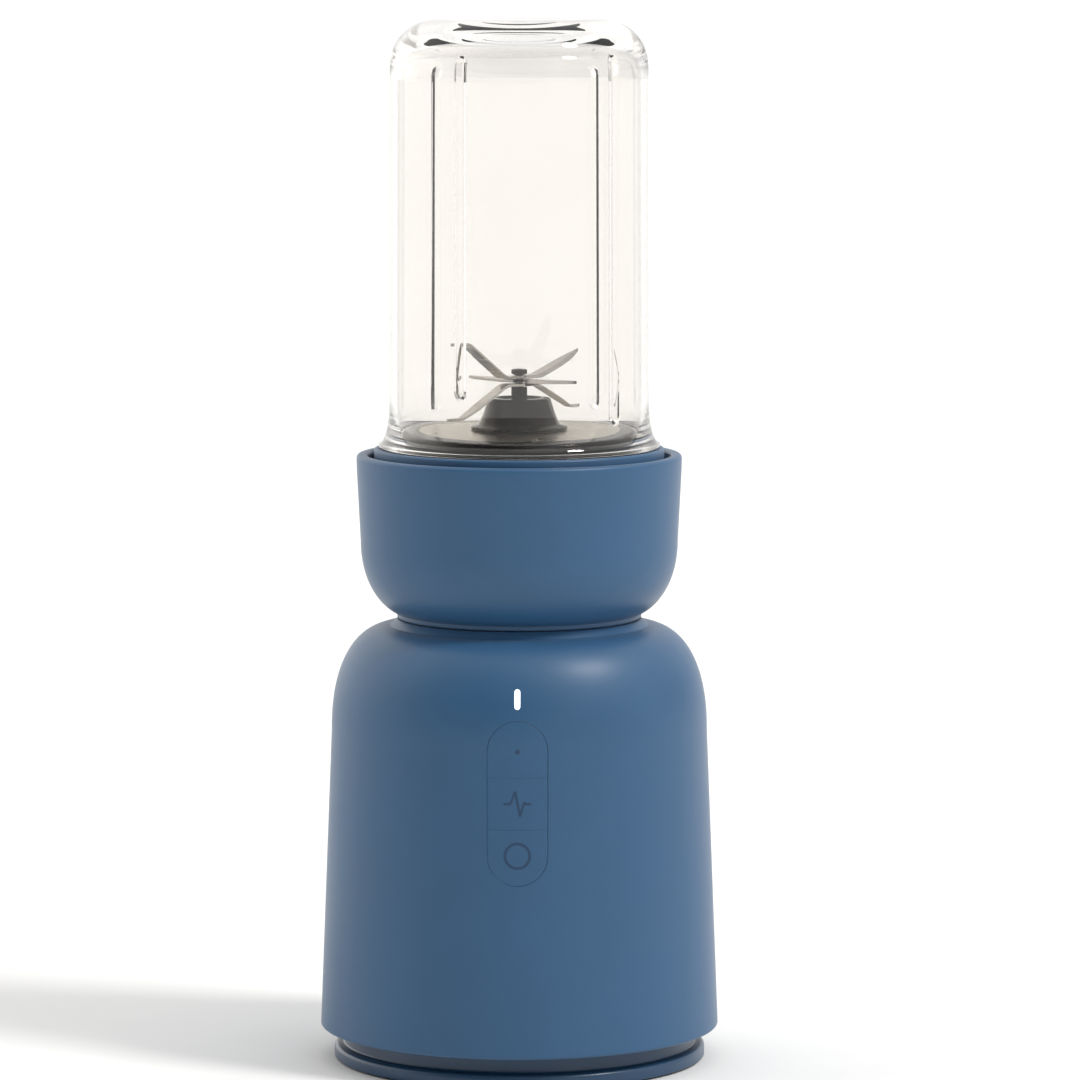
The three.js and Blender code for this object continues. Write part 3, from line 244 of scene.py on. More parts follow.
def together(*shapes):
    """Several shapes as one."""
    vertices, faces = [], []
    for shape_vertices, shape_faces in shapes:
        start = len(vertices)
        vertices += shape_vertices
        faces += [tuple(start + k for k in face) for face in shape_faces]
    return vertices, faces


def moved(shape, x=0.0, y=0.0):
    """A shape, shifted sideways."""
    vertices, faces = shape
    return [(a + x, b + y, c) for a, b, c in vertices], faces


def laid_back(shape, z):
    """A shape turned about Z, tipped so that its axis runs along +Y at height z."""
    vertices, faces = shape
    return [(a, c, z - b) for a, b, c in vertices], faces


def piece(name, shape, finish, body, slot, *nodes, sharp=35, bevel=0.0):
    """A finished piece: its mesh, its finish, its body and the CAD nodes it stands for. Its slot is not
    used.

    sharp is the angle in degrees past which an edge is left sharp, and bevel is in millimetres.
    """
    vertices, faces = shape
    mesh = bpy.data.meshes.new(name)
    mesh.from_pydata([Vector(v) * MM for v in vertices], [], faces)
    form = bmesh.new()
    form.from_mesh(mesh)
    bmesh.ops.remove_doubles(form, verts=form.verts, dist=1e-7)
    bmesh.ops.dissolve_degenerate(form, edges=form.edges, dist=1e-8)
    bmesh.ops.recalc_face_normals(form, faces=form.faces)
    form.to_mesh(mesh)
    form.free()
    mesh.shade_smooth()
    mesh.set_sharp_from_angle(angle=math.radians(sharp))
    mesh.materials.append(finish)
    obj = bpy.data.objects.new(name, mesh)
    scene.collection.objects.link(obj)
    if bevel:
        edge = obj.modifiers.new("edge", "BEVEL")
        edge.width = bevel * MM
        edge.segments = 3
        edge.limit_method = "ANGLE"
        edge.angle_limit = math.radians(35)
        edge.harden_normals = True
    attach(obj, body)
    if nodes:
        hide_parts(*nodes)


# ---- materials


def node(tree, kind, values=()):
    """A new node of a kind, with constant values on its sockets."""
    added = tree.nodes.new("ShaderNode" + kind)
    for socket, value in dict(values).items():
        added.inputs[socket].default_value = value
    return added


def plain_material(name):
    """A new material, its tree and its shader."""
    material = bpy.data.materials.new(name)
    material.use_nodes = True
    tree = material.node_tree
    shader = tree.nodes["Principled BSDF"]
    return material, tree, shader


def own_place(tree, output="Object"):
    """The coordinates of a texture: the object's own, unless another output is asked for."""
    return node(tree, "TexCoord").outputs[output]


def noise(tree, vector, scale, detail=2.0, roughness=0.5):
    """A noise texture's grey value."""
    values = {"Scale": scale, "Detail": detail, "Roughness": roughness}
    texture = node(tree, "TexNoise", values)
    tree.links.new(vector, texture.inputs["Vector"])
    return texture.outputs["Fac"]


def bumped(tree, height, shader, strength, depth):
    """Relief on a shader, with its depth in millimetres."""
    bump = node(tree, "Bump", {"Strength": strength, "Distance": depth * MM})
    tree.links.new(height, bump.inputs["Height"])
    tree.links.new(bump.outputs["Normal"], shader.inputs["Normal"])


def ramp(tree, factor, stops):
    """A colour ramp with stops of (position, colour)."""
    band = node(tree, "ValToRGB")
    elements = band.color_ramp.elements
    while len(elements) < len(stops):
        elements.new(0.5)
    for element, (position, colour) in zip(elements, stops):
        element.position = position
        element.color = (*colour, 1.0)
    tree.links.new(factor, band.inputs["Fac"])
    return band.outputs["Color"]


def spread(tree, factor, to_low, to_high, from_low=0.3, from_high=0.7):
    """A factor stretched from one range to another."""
    values = {"From Min": from_low, "From Max": from_high, "To Min": to_low, "To Max": to_high}
    stretch = node(tree, "MapRange", values)
    tree.links.new(factor, stretch.inputs["Value"])
    return stretch.outputs["Result"]


def multiplied(tree, first, second):
    """Two colours multiplied together."""
    product = node(tree, "Mix", {"Factor": 1.0})
    product.data_type = "RGBA"
    product.blend_type = "MULTIPLY"
    tree.links.new(first, product.inputs["A"])
    tree.links.new(second, product.inputs["B"])
    return product.outputs["Result"]


def scaled(colour, factor):
    """A colour made brighter or darker."""
    return tuple(min(c * factor, 1.0) for c in colour)


def made(
    name, colour, roughness, *, vary=0.06, rough_vary=0.06, blotch=45.0, grain=2200.0,
    relief=0.012, stretch=(1.0, 1.0, 1.0), wear=0.12, sockets=None
):
    """A procedural finish: blotchy colour and roughness, a fine grain, and worn edges.

    blotch and grain are in features per metre, and relief is the grain's depth in millimetres.
    """
    material, tree, shader = plain_material(name)
    for socket, value in (sockets or {}).items():
        shader.inputs[socket].default_value = value
    place = own_place(tree)
    mapping = node(tree, "Mapping", {"Scale": stretch})
    tree.links.new(place, mapping.inputs["Vector"])
    vector = mapping.outputs["Vector"]
    broad = noise(tree, vector, blotch, 3.0)
    fine = noise(tree, vector, grain, 2.0)

    tone = ramp(tree, broad, [(0.3, scaled(colour, 1 - vary)), (0.7, scaled(colour, 1 + vary))])
    geometry = node(tree, "NewGeometry")
    edges = spread(tree, geometry.outputs["Pointiness"], 0.0, wear, 0.52, 0.6)
    worn = node(tree, "Mix")
    worn.data_type = "RGBA"
    tree.links.new(edges, worn.inputs["Factor"])
    tree.links.new(tone, worn.inputs["A"])
    worn.inputs["B"].default_value = (*scaled(colour, 1.6), 1.0)
    tree.links.new(worn.outputs["Result"], shader.inputs["Base Color"])

    shine = spread(tree, broad, roughness - rough_vary, roughness + rough_vary)
    tree.links.new(shine, shader.inputs["Roughness"])

    bumped(tree, fine, shader, 0.5, relief)
    return material


def clear_plastic():
    """The jar: clear, a little warm, with the faint waves and scuffs of a moulding, and painted shade at
    its grazing edges.
    """
    material, tree, shader = plain_material("clear_jar")
    shader.inputs["Transmission Weight"].default_value = 1.0
    shader.inputs["IOR"].default_value = 1.5
    vector = own_place(tree)
    scuffs = noise(tree, vector, 260.0, 6.0, 0.7)
    tree.links.new(spread(tree, scuffs, 0.0, 0.03, 0.55, 0.8), shader.inputs["Roughness"])
    tint = noise(tree, vector, 18.0)
    colour = ramp(tree, tint, [(0.3, (0.915, 0.900, 0.880)), (0.7, (0.930, 0.917, 0.900))])
    # The base colour darkens towards grazing angles: painted shade standing in for the dark surroundings
    # seen through the jar's edges and ribs.
    edge = node(tree, "LayerWeight", {"Blend": 0.5})
    painted_edge_shade = ramp(tree, edge.outputs["Facing"], [(0.70, (1.0, 1.0, 1.0)), (0.97, (0.42, 0.40, 0.40))])
    tree.links.new(multiplied(tree, colour, painted_edge_shade), shader.inputs["Base Color"])
    waves = noise(tree, vector, 55.0, 1.0)
    bumped(tree, waves, shader, 0.35, 0.03)
    return material


METAL = {"Metallic": 1.0}

BLUE = made(
    "blue_plastic", (0.030, 0.098, 0.205), 0.42, vary=0.035, rough_vary=0.03,
    blotch=30.0, grain=2600.0, relief=0.01, wear=0.10,
    sockets={
        "IOR": 1.46, "Specular IOR Level": 0.5, "Sheen Weight": 0.2, "Sheen Roughness": 0.25,
        "Sheen Tint": (1.0, 0.93, 0.86, 1.0),
    },
)
DEEP = made("deep_plastic", (0.012, 0.045, 0.105), 0.5, vary=0.05, grain=3500.0, relief=0.006)

# The bottom cover is glossier than the housing, and its darker blue is painted shade for the recess
# under the skirt.
FOOT_BLUE_PAINTED_SHADE = made(
    "foot_plastic_painted_shade", (0.017, 0.056, 0.120), 0.30, vary=0.04, rough_vary=0.03, blotch=30.0,
    grain=2600.0, relief=0.008, wear=0.15,
)
RUBBER = made("black_rubber", (0.018, 0.019, 0.021), 0.72, vary=0.15, grain=1600.0, relief=0.04)
BLACK = made("black_plastic", (0.022, 0.023, 0.026), 0.48, vary=0.1, relief=0.02)
GREY = made("grey_plastic", (0.30, 0.31, 0.33), 0.5, vary=0.05, relief=0.02)
SILICONE = made(
    "silicone", (0.42, 0.43, 0.44), 0.5, vary=0.05, grain=900.0, relief=0.02,
    sockets={"Subsurface Weight": 0.15, "Subsurface Scale": 0.001},
)
STEEL = made(
    "bright_steel", (0.60, 0.575, 0.54), 0.24, vary=0.06, rough_vary=0.05, blotch=120.0,
    grain=1800.0, relief=0.006, wear=0.3, sockets=METAL,
)

# The blades carry fine grinding lines.
BLADE_STEEL = made(
    "ground_steel", (0.42, 0.40, 0.37), 0.22, vary=0.08, rough_vary=0.07, blotch=160.0,
    grain=900.0, relief=0.006, stretch=(0.15, 0.15, 4.0), wear=0.35, sockets=METAL,
)
# Near-black steel. The hub, spindle and nut are dark steel, but this colour is darker than any steel: a
# painted dark reflection of the room in front. The disc's rim band takes it too, as a painted dark
# reflection on bright steel.
DARK_STEEL_AND_PAINTED_REFLECTION = made(
    "dark_steel_painted_reflection", (0.016, 0.013, 0.011), 0.09, vary=0.08, rough_vary=0.04, blotch=90.0,
    grain=2500.0, relief=0.003, wear=0.3,
    sockets={**METAL, "Coat Weight": 0.1, "Coat Roughness": 0.06},
)
SATIN_STEEL = made(
    "satin_steel", (0.55, 0.52, 0.45), 0.3, vary=0.07, rough_vary=0.05, blotch=90.0,
    grain=2000.0, relief=0.006, wear=0.2, sockets=METAL,
)
CLEAR = clear_plastic()

SLOT_FINISH = {
    "blue_plastic": BLUE,
    "black_rubber": RUBBER,
    "clear_jar": CLEAR,
    "silicone_grey": SILICONE,
    "steel_bright": STEEL,
    "steel_dark": DARK_STEEL_AND_PAINTED_REFLECTION,
    # Stacked sheet steel, in thin layers along Z.
    "laminated_steel": made(
        "laminations", (0.28, 0.28, 0.29), 0.42, vary=0.12, blotch=60.0, grain=260.0,
        relief=0.15, stretch=(0.2, 0.2, 8.0), sockets={"Metallic": 0.9},
    ),
    # Enamelled wire, in fine turns along Z.
    "copper_winding": made(
        "copper_wire", (0.52, 0.20, 0.07), 0.3, vary=0.15, blotch=80.0, grain=320.0,
        relief=0.2, stretch=(0.4, 0.4, 6.0), sockets={"Metallic": 0.9, "Coat Weight": 0.4},
    ),
    "brass_parts": made(
        "brass", (0.56, 0.38, 0.15), 0.3, vary=0.08, blotch=90.0, relief=0.01, sockets=METAL,
    ),
    "black_plastic": BLACK,
    "grey_plastic": GREY,
    "board": made(
        "circuit_board", (0.012, 0.095, 0.045), 0.38, vary=0.25, blotch=420.0, grain=1200.0,
        relief=0.05, sockets={"Coat Weight": 0.3},
    ),
    # Milky plastic with a lamp behind it.
    "light": made(
        "lit_diffuser", (0.9, 0.92, 0.95), 0.35, vary=0.03, relief=0.004,
        sockets={"Emission Color": (1.0, 1.0, 1.0, 1.0), "Emission Strength": 1.6},
    ),
    "carbon": made("carbon", (0.025, 0.025, 0.027), 0.62, vary=0.2, grain=1400.0, relief=0.05),
}


def dress_frame():
    """Every CAD node gets its slot's finish, whether or not a piece later stands for it."""
    for part in frame["record"]["subparts"]:
        obj = frame["nodes"][part["node"]]
        obj.data.materials.clear()
        obj.data.materials.append(SLOT_FINISH[part["material_slot"]])


# ---- housing surface


def housing_radius(z, depth=0.0):
    """The housing's radius at a height, at a depth under its skin."""
    if z <= SHOULDER_START:
        fall = HOUSING_DRAFT / (SHOULDER_START - SKIRT_BOTTOM)
        return SKIRT_RADIUS - (z - SKIRT_BOTTOM) * fall - depth
    rise = (z - SHOULDER_START) / (SHOULDER_HEIGHT - depth)
    up = min(rise, 1.0) ** (1 / SHOULDER_FULLNESS)
    across = math.sqrt(max(1 - up * up, 0)) ** SHOULDER_FULLNESS
    return SHOULDER_CENTRE + (SHOULDER_WIDTH - depth) * across


def on_housing(u, z, depth=0.0, back=False):
    """A point on the housing: u across its front (or back), z up, depth under the skin."""
    y = -math.sqrt(housing_radius(z, depth) ** 2 - u * u)
    return (-u, -y, z) if back else (u, y, z)


def stadium_rays(half_width, half_height, centre, fractions):
    """(anchor, direction) pairs round a stadium, clockwise from its top.

    The outline lies at half_width from each anchor, along its direction.
    """
    rise = half_height - half_width
    arc = math.pi * half_width
    side = 2 * rise
    rays = []
    for fraction in fractions:
        s = fraction * 2 * (arc + side)
        if s <= arc / 2:
            angle, z = math.pi / 2 - s / half_width, rise
        elif s <= arc / 2 + side:
            angle, z = 0.0, rise - (s - arc / 2)
        elif s <= 1.5 * arc + side:
            angle, z = -(s - arc / 2 - side) / half_width, -rise
        elif s <= 1.5 * arc + 2 * side:
            angle, z = math.pi, -rise + (s - 1.5 * arc - side)
        else:
            angle, z = math.pi - (s - 1.5 * arc - 2 * side) / half_width, rise
        rays.append((Vector((0, centre + z)), Vector((math.cos(angle), math.sin(angle)))))
    return rays


COLUMNS = 256
WALL_ROWS = 64
SHOULDER_ROWS = 60
EDGE = 0.18
LIGHT_GAP = 0.12
GLAND_HOLE = 6.3


def housing_shape():
    """The housing's shell, with windows for the panel, the light and the cord's gland."""
    wall = spaced(SKIRT_BOTTOM + SKIRT_EDGE, SHOULDER_START, WALL_ROWS)
    curve = full_round(
        SHOULDER_CENTRE, SHOULDER_START, SHOULDER_WIDTH, SHOULDER_HEIGHT, SHOULDER_FULLNESS,
        0, 90, SHOULDER_ROWS
    )
    shared = wall + [z for r, z in curve[1:] if z < SHOULDER_START + 0.8 * SHOULDER_HEIGHT]
    upper = [(r, z) for r, z in curve if z > shared[-1]]
    roof = HOUSING_TOP - HOUSING_WALL
    inner_upper = full_round(
        SHOULDER_CENTRE, SHOULDER_START, SHOULDER_WIDTH - HOUSING_WALL,
        SHOULDER_HEIGHT - HOUSING_WALL, SHOULDER_FULLNESS, 70, 90, 6
    )
    inner_upper = [(r, z) for r, z in inner_upper if z > shared[-1] + 0.5]
    skirt = [
        (
            SKIRT_RADIUS - SKIRT_EDGE + SKIRT_EDGE * math.sin(a),
            SKIRT_BOTTOM + SKIRT_EDGE * (1 - math.cos(a)),
        )
        for a in spaced(0, math.pi / 2, 6)
    ][:-1]
    crown = rounded([
        (SHOULDER_CENTRE + 1, HOUSING_TOP - CROWN_DROP, 0),
        (SHOULDER_CENTRE, HOUSING_TOP - CROWN_DROP, 0.8),
        (SEAT_RADIUS, HOUSING_TOP, 0.5),
        (HOUSING_HOLE, HOUSING_TOP, 0),
        (HOUSING_HOLE, roof, 0),
    ])[1:]
    profile = skirt
    first_outer = len(profile)
    profile = profile + [(housing_radius(z), z) for z in shared]
    profile = profile + upper[:-1] + crown + list(reversed(inner_upper))
    last_inner = len(profile) + len(shared) - 1
    profile = profile + [(housing_radius(z, HOUSING_WALL), z) for z in reversed(shared)]
    profile.append((housing_radius(SKIRT_BOTTOM, HOUSING_WALL), SKIRT_BOTTOM))

    vertices = []
    for r, z in profile:
        for j in range(COLUMNS):
            angle = 2 * math.pi * j / COLUMNS - math.pi / 2
            vertices.append((r * math.cos(angle), r * math.sin(angle), z))

    def at(row, column):
        return row * COLUMNS + column % COLUMNS

    windows = [
        (PANEL_WIDTH / 2, (PANEL_HIGH - PANEL_LOW) / 2, PANEL_CENTRE, 0),
        (LIGHT_WIDTH / 2 + LIGHT_GAP, LIGHT_HEIGHT / 2 + LIGHT_GAP, LIGHT_CENTRE, 0),
        (GLAND_HOLE, GLAND_HOLE, GLAND_CENTRE, COLUMNS // 2),
    ]
    cut = set()
    faces = []
    for half_width, half_height, centre, middle in windows:
        margin = min(1.2, 0.35 * half_width + 0.7)
        rows_below = [i for i, z in enumerate(shared) if z < centre - half_height - margin]
        rows_above = [i for i, z in enumerate(shared) if z > centre + half_height + margin]
        bottom, top = rows_below[-1], rows_above[0]
        pitch = 2 * math.pi * housing_radius(centre) / COLUMNS
        reach = math.ceil((half_width + margin) / pitch)
        loop = [(top, j) for j in range(0, reach)]
        loop += [(i, reach) for i in range(top, bottom, -1)]
        loop += [(bottom, j) for j in range(reach, -reach, -1)]
        loop += [(i, -reach) for i in range(bottom, top)]
        loop += [(top, j) for j in range(-reach, 0)]
        for i in range(bottom, top):
            for j in range(-reach, reach):
                cut.add((first_outer + i, (middle + j) % COLUMNS))
                cut.add((last_inner - i - 1, (middle + j) % COLUMNS))
        count = len(loop)
        spots = []
        for i, j in loop:
            angle = 2 * math.pi * j / COLUMNS
            spots.append(Vector((housing_radius(shared[i]) * math.sin(angle), shared[i])))
        run = [0.0]
        for k in range(count):
            run.append(run[-1] + (spots[(k + 1) % count] - spots[k]).length)
        rays = stadium_rays(half_width, half_height, centre, [s / run[-1] for s in run[:-1]])
        back = middle != 0

        def ring(points, depth):
            start = len(vertices)
            vertices.extend(on_housing(u, z, depth, back) for u, z in points)
            return list(range(start, start + count))

        def outline(grow):
            return [anchor + direction * (half_width + grow) for anchor, direction in rays]

        def between(share):
            return [spot.lerp(near, share) for spot, near in zip(spots, outline(EDGE + 0.4))]

        loops = [[at(first_outer + i, middle + j) for i, j in loop]]
        loops += [ring(between(share), 0.0) for share in (0.35, 0.7, 1.0)]
        for a in spaced(0, math.pi / 2, 3):
            loops.append(ring(outline(EDGE * (1 - math.sin(a))), EDGE * (1 - math.cos(a))))
        loops.append(ring(outline(0), HOUSING_WALL))
        loops += [ring(between(share), HOUSING_WALL) for share in (1.0, 0.6)]
        loops.append([at(last_inner - i, middle + j) for i, j in loop])
        for first, second in zip(loops, loops[1:]):
            faces += bridged(first, second, count)

    rows = len(profile)
    for i in range(rows):
        for j in range(COLUMNS):
            if (i, j) in cut:
                continue
            after = (i + 1) % rows
            faces.append((at(i, j), at(i, j + 1), at(after, j + 1), at(after, j)))
    return vertices, faces


def flush_panel(half_width, half_height, centre, thickness, edge, count=176):
    """A stadium-shaped solid whose face lies on the housing's surface."""
    rays = stadium_rays(half_width, half_height, centre, [k / count for k in range(count)])
    vertices = []
    loops = []
    flat = [0.0] + [half_width * share for share in (0.2, 0.4, 0.6, 0.8)]
    flat += [half_width - edge - 0.35]
    steps = [(reach, 0.0) for reach in flat if reach <= half_width - edge - 0.2]
    for a in spaced(0, math.pi / 2, 3):
        steps.append((half_width - edge + edge * math.sin(a), edge * (1 - math.cos(a))))
    steps += [(half_width, thickness), (half_width / 2, thickness), (0.0, thickness)]
    for reach, depth in steps:
        start = len(vertices)
        for anchor, direction in rays:
            spot = anchor + direction * reach
            vertices.append(on_housing(spot.x, spot.y, depth))
        loops.append(range(start, start + count))
    faces = []
    for first, second in zip(loops, loops[1:]):
        faces += bridged(first, second, count)
    return vertices, faces


def between_heights(shape, bottom, top):
    """A solid shape cut off below one height and above another, with its cuts closed."""
    vertices, faces = shape
    form = bmesh.new()
    made_vertices = [form.verts.new(v) for v in vertices]
    for face in faces:
        form.faces.new([made_vertices[k] for k in face])
    bmesh.ops.remove_doubles(form, verts=form.verts, dist=1e-4)
    bmesh.ops.dissolve_degenerate(form, edges=form.edges, dist=1e-5)
    bmesh.ops.recalc_face_normals(form, faces=form.faces)
    for height, up in ((bottom, -1.0), (top, 1.0)):
        everything = form.verts[:] + form.edges[:] + form.faces[:]
        result = bmesh.ops.bisect_plane(
            form, geom=everything, plane_co=(0, 0, height), plane_no=(0, 0, up), clear_outer=True
        )
        rim = [e for e in result["geom_cut"] if isinstance(e, bmesh.types.BMEdge)]
        if rim:
            bmesh.ops.holes_fill(form, edges=rim, sides=0)
    form.verts.index_update()
    cut_vertices = [tuple(v.co) for v in form.verts]
    cut_faces = [tuple(v.index for v in f.verts) for f in form.faces]
    form.free()
    return cut_vertices, cut_faces


def raised_strip(sides, lift, root):
    """A thin closed strip between two lines of (u, z) points on the housing's skin.

    It stands lift above the skin and reaches root below it.
    """
    left, right = sides
    vertices = []
    count = len(left)
    for line in (left, right):
        for depth in (-lift, root):
            vertices += [on_housing(u, z, depth) for u, z in line]
    faces = []
    tracks = [range(k * count, (k + 1) * count) for k in (0, 2, 3, 1)]
    for k in range(count - 1):
        for first, second in zip(tracks, tracks[1:] + tracks[:1]):
            faces.append((first[k], first[k + 1], second[k + 1], second[k]))
    faces.append(tuple(track[0] for track in tracks))
    faces.append(tuple(track[-1] for track in reversed(tracks)))
    return vertices, faces


ICON_LIFT = 0.03
ICON_ROOT = 0.3
ICON_LINE = 0.95
PULSE_HALF_LINE = 0.4
PULSE_OVERLAP = 0.12


def ring_icon(centre, outer):
    """A ring. Its ends meet, so the strip's two end faces are left out."""
    turns = spaced(0, 2 * math.pi, 96)
    inner = outer - ICON_LINE
    lines = [
        [(radius * math.cos(a), centre + radius * math.sin(a)) for a in turns]
        for radius in (inner, outer)
    ]
    vertices, faces = raised_strip(lines, ICON_LIFT, ICON_ROOT)
    return vertices, faces[:-2]


def dot_icon(centre, radius):
    """A filled dot."""
    turns = spaced(0, math.pi, 24)
    right = [(radius * math.sin(a), centre + radius * math.cos(a)) for a in turns]
    left = [(-u, z) for u, z in right]
    return raised_strip([left, right], ICON_LIFT, ICON_ROOT)


def pulse_icon(centre, width, height):
    """A heartbeat line: flat, up, down, up a little, flat."""
    half_width, half_height = width / 2, height / 2
    route = [
        (-half_width, 0), (-0.52 * half_width, 0), (-0.16 * half_width, half_height),
        (0.2 * half_width, -half_height), (0.5 * half_width, 0.12 * half_height),
        (0.62 * half_width, 0), (half_width, 0),
    ]
    spots = [Vector((u, centre + z)) for u, z in route]
    shapes = []
    for start, end in zip(spots, spots[1:]):
        along = (end - start).normalized()
        across = Vector((-along.y, along.x)) * PULSE_HALF_LINE
        steps = spaced(0, 1, 6)
        begin, finish = start - along * PULSE_OVERLAP, end + along * PULSE_OVERLAP
        left = [tuple(begin.lerp(finish, s) + across) for s in steps]
        right = [tuple(begin.lerp(finish, s) - across) for s in steps]
        shapes.append(raised_strip([left, right], ICON_LIFT, ICON_ROOT))
    return together(*shapes)


# ---- base

POST_X, POST_Y, POST_TOP = 30, 24, 43.7


def build_housing():
    piece("housing_shell", housing_shape(), BLUE, "base", "blue_plastic", "motor_housing", sharp=50)


def build_panel():
    """Three keys cut from one panel, their icons, and the light below them."""
    clearance, seam = 0.06, 0.03
    key_thickness, light_thickness = 3.0, 4.0
    panel = flush_panel(
        PANEL_WIDTH / 2 - clearance, (PANEL_HIGH - PANEL_LOW) / 2 - clearance, PANEL_CENTRE,
        key_thickness, EDGE
    )
    bands = [
        ("ring", PANEL_LOW - 1, SEAM_LOW - seam),
        ("pulse", SEAM_LOW + seam, SEAM_HIGH - seam),
        ("dot", SEAM_HIGH + seam, PANEL_HIGH + 1),
    ]
    for word, bottom, top in bands:
        shape = between_heights(panel, bottom, top)
        piece(f"{word}_cap", shape, BLUE, f"{word}_key", "blue_plastic", f"key_{word}", sharp=50)
    key_middle = (SEAM_LOW + SEAM_HIGH) / 2
    pitch = SEAM_HIGH - SEAM_LOW
    icons = {
        "ring": ring_icon(key_middle - pitch, 4.55),
        "pulse": pulse_icon(key_middle, 8.9, 8.0),
        "dot": dot_icon(key_middle + pitch, 0.85),
    }
    for word, shape in icons.items():
        piece(f"{word}_icon", shape, DEEP, f"{word}_key", "blue_plastic", sharp=50)
    light = flush_panel(LIGHT_WIDTH / 2, LIGHT_HEIGHT / 2, LIGHT_CENTRE, light_thickness, 0.1, 64)
    piece("light_bar", light, SLOT_FINISH["light"], "base", "light", "light_pipe", sharp=50)


def build_foot():
    """The bottom cover with its grille and posts, and the rubber ring it stands on."""
    foot_radius, neck, inner = 62.9, 59.4, 51.5
    foot_low, lip_top = 0.6, 5.1
    groove_inner, groove_outer, groove_top = 53.7, 61.9, 1.8
    cover_low = SKIRT_BOTTOM + 0.5
    cover_top = cover_low + 2.5
    rim = high("base_plate").x
    vent_inner, vent_outer, overlap = 18.0, 34.0, 3.5
    bar_count, slot_width = 10, 3.5
    bar_radius = (vent_inner + vent_outer) / 2
    bar_pitch = 360 // bar_count
    bar_width = bar_pitch - 360 * slot_width / (2 * math.pi * bar_radius)
    ring_part = turned(rounded([
        (inner, lip_top, 0.3), (inner, foot_low, 0.4), (groove_inner, foot_low, 0.2),
        (groove_inner, groove_top, 0), (groove_outer, groove_top, 0), (groove_outer, foot_low, 0.2),
        (foot_radius, foot_low, 0.5), (foot_radius, lip_top, 1.5), (neck, lip_top, 0.8),
        (neck, cover_low, 0), (rim, cover_low, 0), (rim, cover_top, 0.3),
        (vent_outer + 3, cover_top, 0), (vent_outer + 3, cover_low, 0), (neck - 4, cover_low, 0.8),
        (neck - 4, lip_top, 0.6),
    ]), 256)
    hub_radius = vent_inner - 3
    hub = turned([(0, cover_low), (hub_radius, cover_low), (hub_radius, cover_top), (0, cover_top)], 64)
    bars = [
        sector(
            vent_inner - overlap, vent_outer + overlap, cover_low, cover_top, bar_pitch * k, bar_width
        )
        for k in range(bar_count)
    ]
    inner_ring = hoop(vent_inner - overlap, vent_inner, cover_low, cover_top, (0, 0.3, 0.3, 0), 96)
    outer_ring = hoop(vent_outer, vent_outer + overlap, cover_low, cover_top, (0.3, 0, 0, 0.3), 128)
    # The cover, grille and posts take the darker blue that is painted shade for the recess under the
    # skirt.
    piece("base_cover", ring_part, FOOT_BLUE_PAINTED_SHADE, "base", "blue_plastic", "base_plate")
    grille = together(hub, inner_ring, outer_ring, *bars)
    piece("base_grille", grille, FOOT_BLUE_PAINTED_SHADE, "base", "blue_plastic", bevel=0.3)
    motor_post = post(0, 5.5, 4.0, cover_top - 0.5, POST_TOP, (0.4, 0))
    spots = [(POST_X, POST_Y), (-POST_X, POST_Y), (-POST_X, -POST_Y), (POST_X, -POST_Y)]
    posts = together(*[moved(motor_post, x, y) for x, y in spots])
    piece("motor_posts", posts, FOOT_BLUE_PAINTED_SHADE, "base", "blue_plastic")
    pad_inner, pad_outer, pad_top = 54.0, 61.6, 1.5
    pad = hoop(pad_inner, pad_outer, 0, pad_top, (0.5, 0.5, 0.2, 0.2), 256)
    piece("foot_ring", pad, RUBBER, "base", "black_rubber", "foot_pad")


def hex_socket(radius):
    """Reshapes a screw's socket rows, marked by their radius, into a hexagon."""
    def reshape(r, z, angle):
        if r != radius:
            return r
        sixth = math.pi / 3
        return radius / math.cos((angle % sixth) - sixth / 2) * math.cos(sixth / 2)
    return reshape


def build_screws():
    """The three screws that hold the bottom cover on."""
    head, shank, socket, point = 3.0, 1.5, 1.45, 0.3
    head_height, socket_depth = 2.0, 1.4
    for k in (1, 2, 3):
        name = f"base_screw_{k}"
        foot, tip = low(name), high(name)
        x, y = (foot.x + tip.x) / 2, (foot.y + tip.y) / 2
        shoulder = foot.z + head_height
        socket_top = foot.z + socket_depth
        profile = [
            (0, socket_top), (socket, socket_top), (socket, foot.z),
            *rounded([(socket + 0.15, foot.z, 0), (head, foot.z, 0.5), (head, shoulder, 0.15)])[:-1],
            (shank, shoulder), (shank, tip.z - 1.5), (point, tip.z), (0, tip.z),
        ]
        shape = moved(turned(profile, 48, hex_socket(socket)), x, y)
        piece(f"cover_screw_{k}", shape, STEEL, "base", "steel_bright", name)


def build_gland():
    """The cord's strain relief: a flanged collar in the wall with a groove in its face."""
    wall = housing_radius(GLAND_CENTRE)
    bore, collar, flange = 3.4, 6.0, 8.5
    flange_back, flange_front = wall - 12, wall - 5
    tip = wall - GAP
    groove_inner, groove_outer, groove_floor = 4.5, 5.1, tip - 0.8
    profile = rounded([
        (bore, flange_back, 0.3), (flange, flange_back, 0.3), (flange, flange_front, 0.3),
        (collar, flange_front, 0), (collar, tip, 0.8), (groove_outer, tip, 0.2),
        (groove_outer, groove_floor, 0.2), (groove_inner, groove_floor, 0.2),
        (groove_inner, tip, 0.2), (bore, tip, 0.5),
    ])
    shape = laid_back(turned(profile, 96), GLAND_CENTRE)
    piece("cord_collar", shape, RUBBER, "base", "black_rubber", "cord_gland")


# ---- cradle bowl and lock


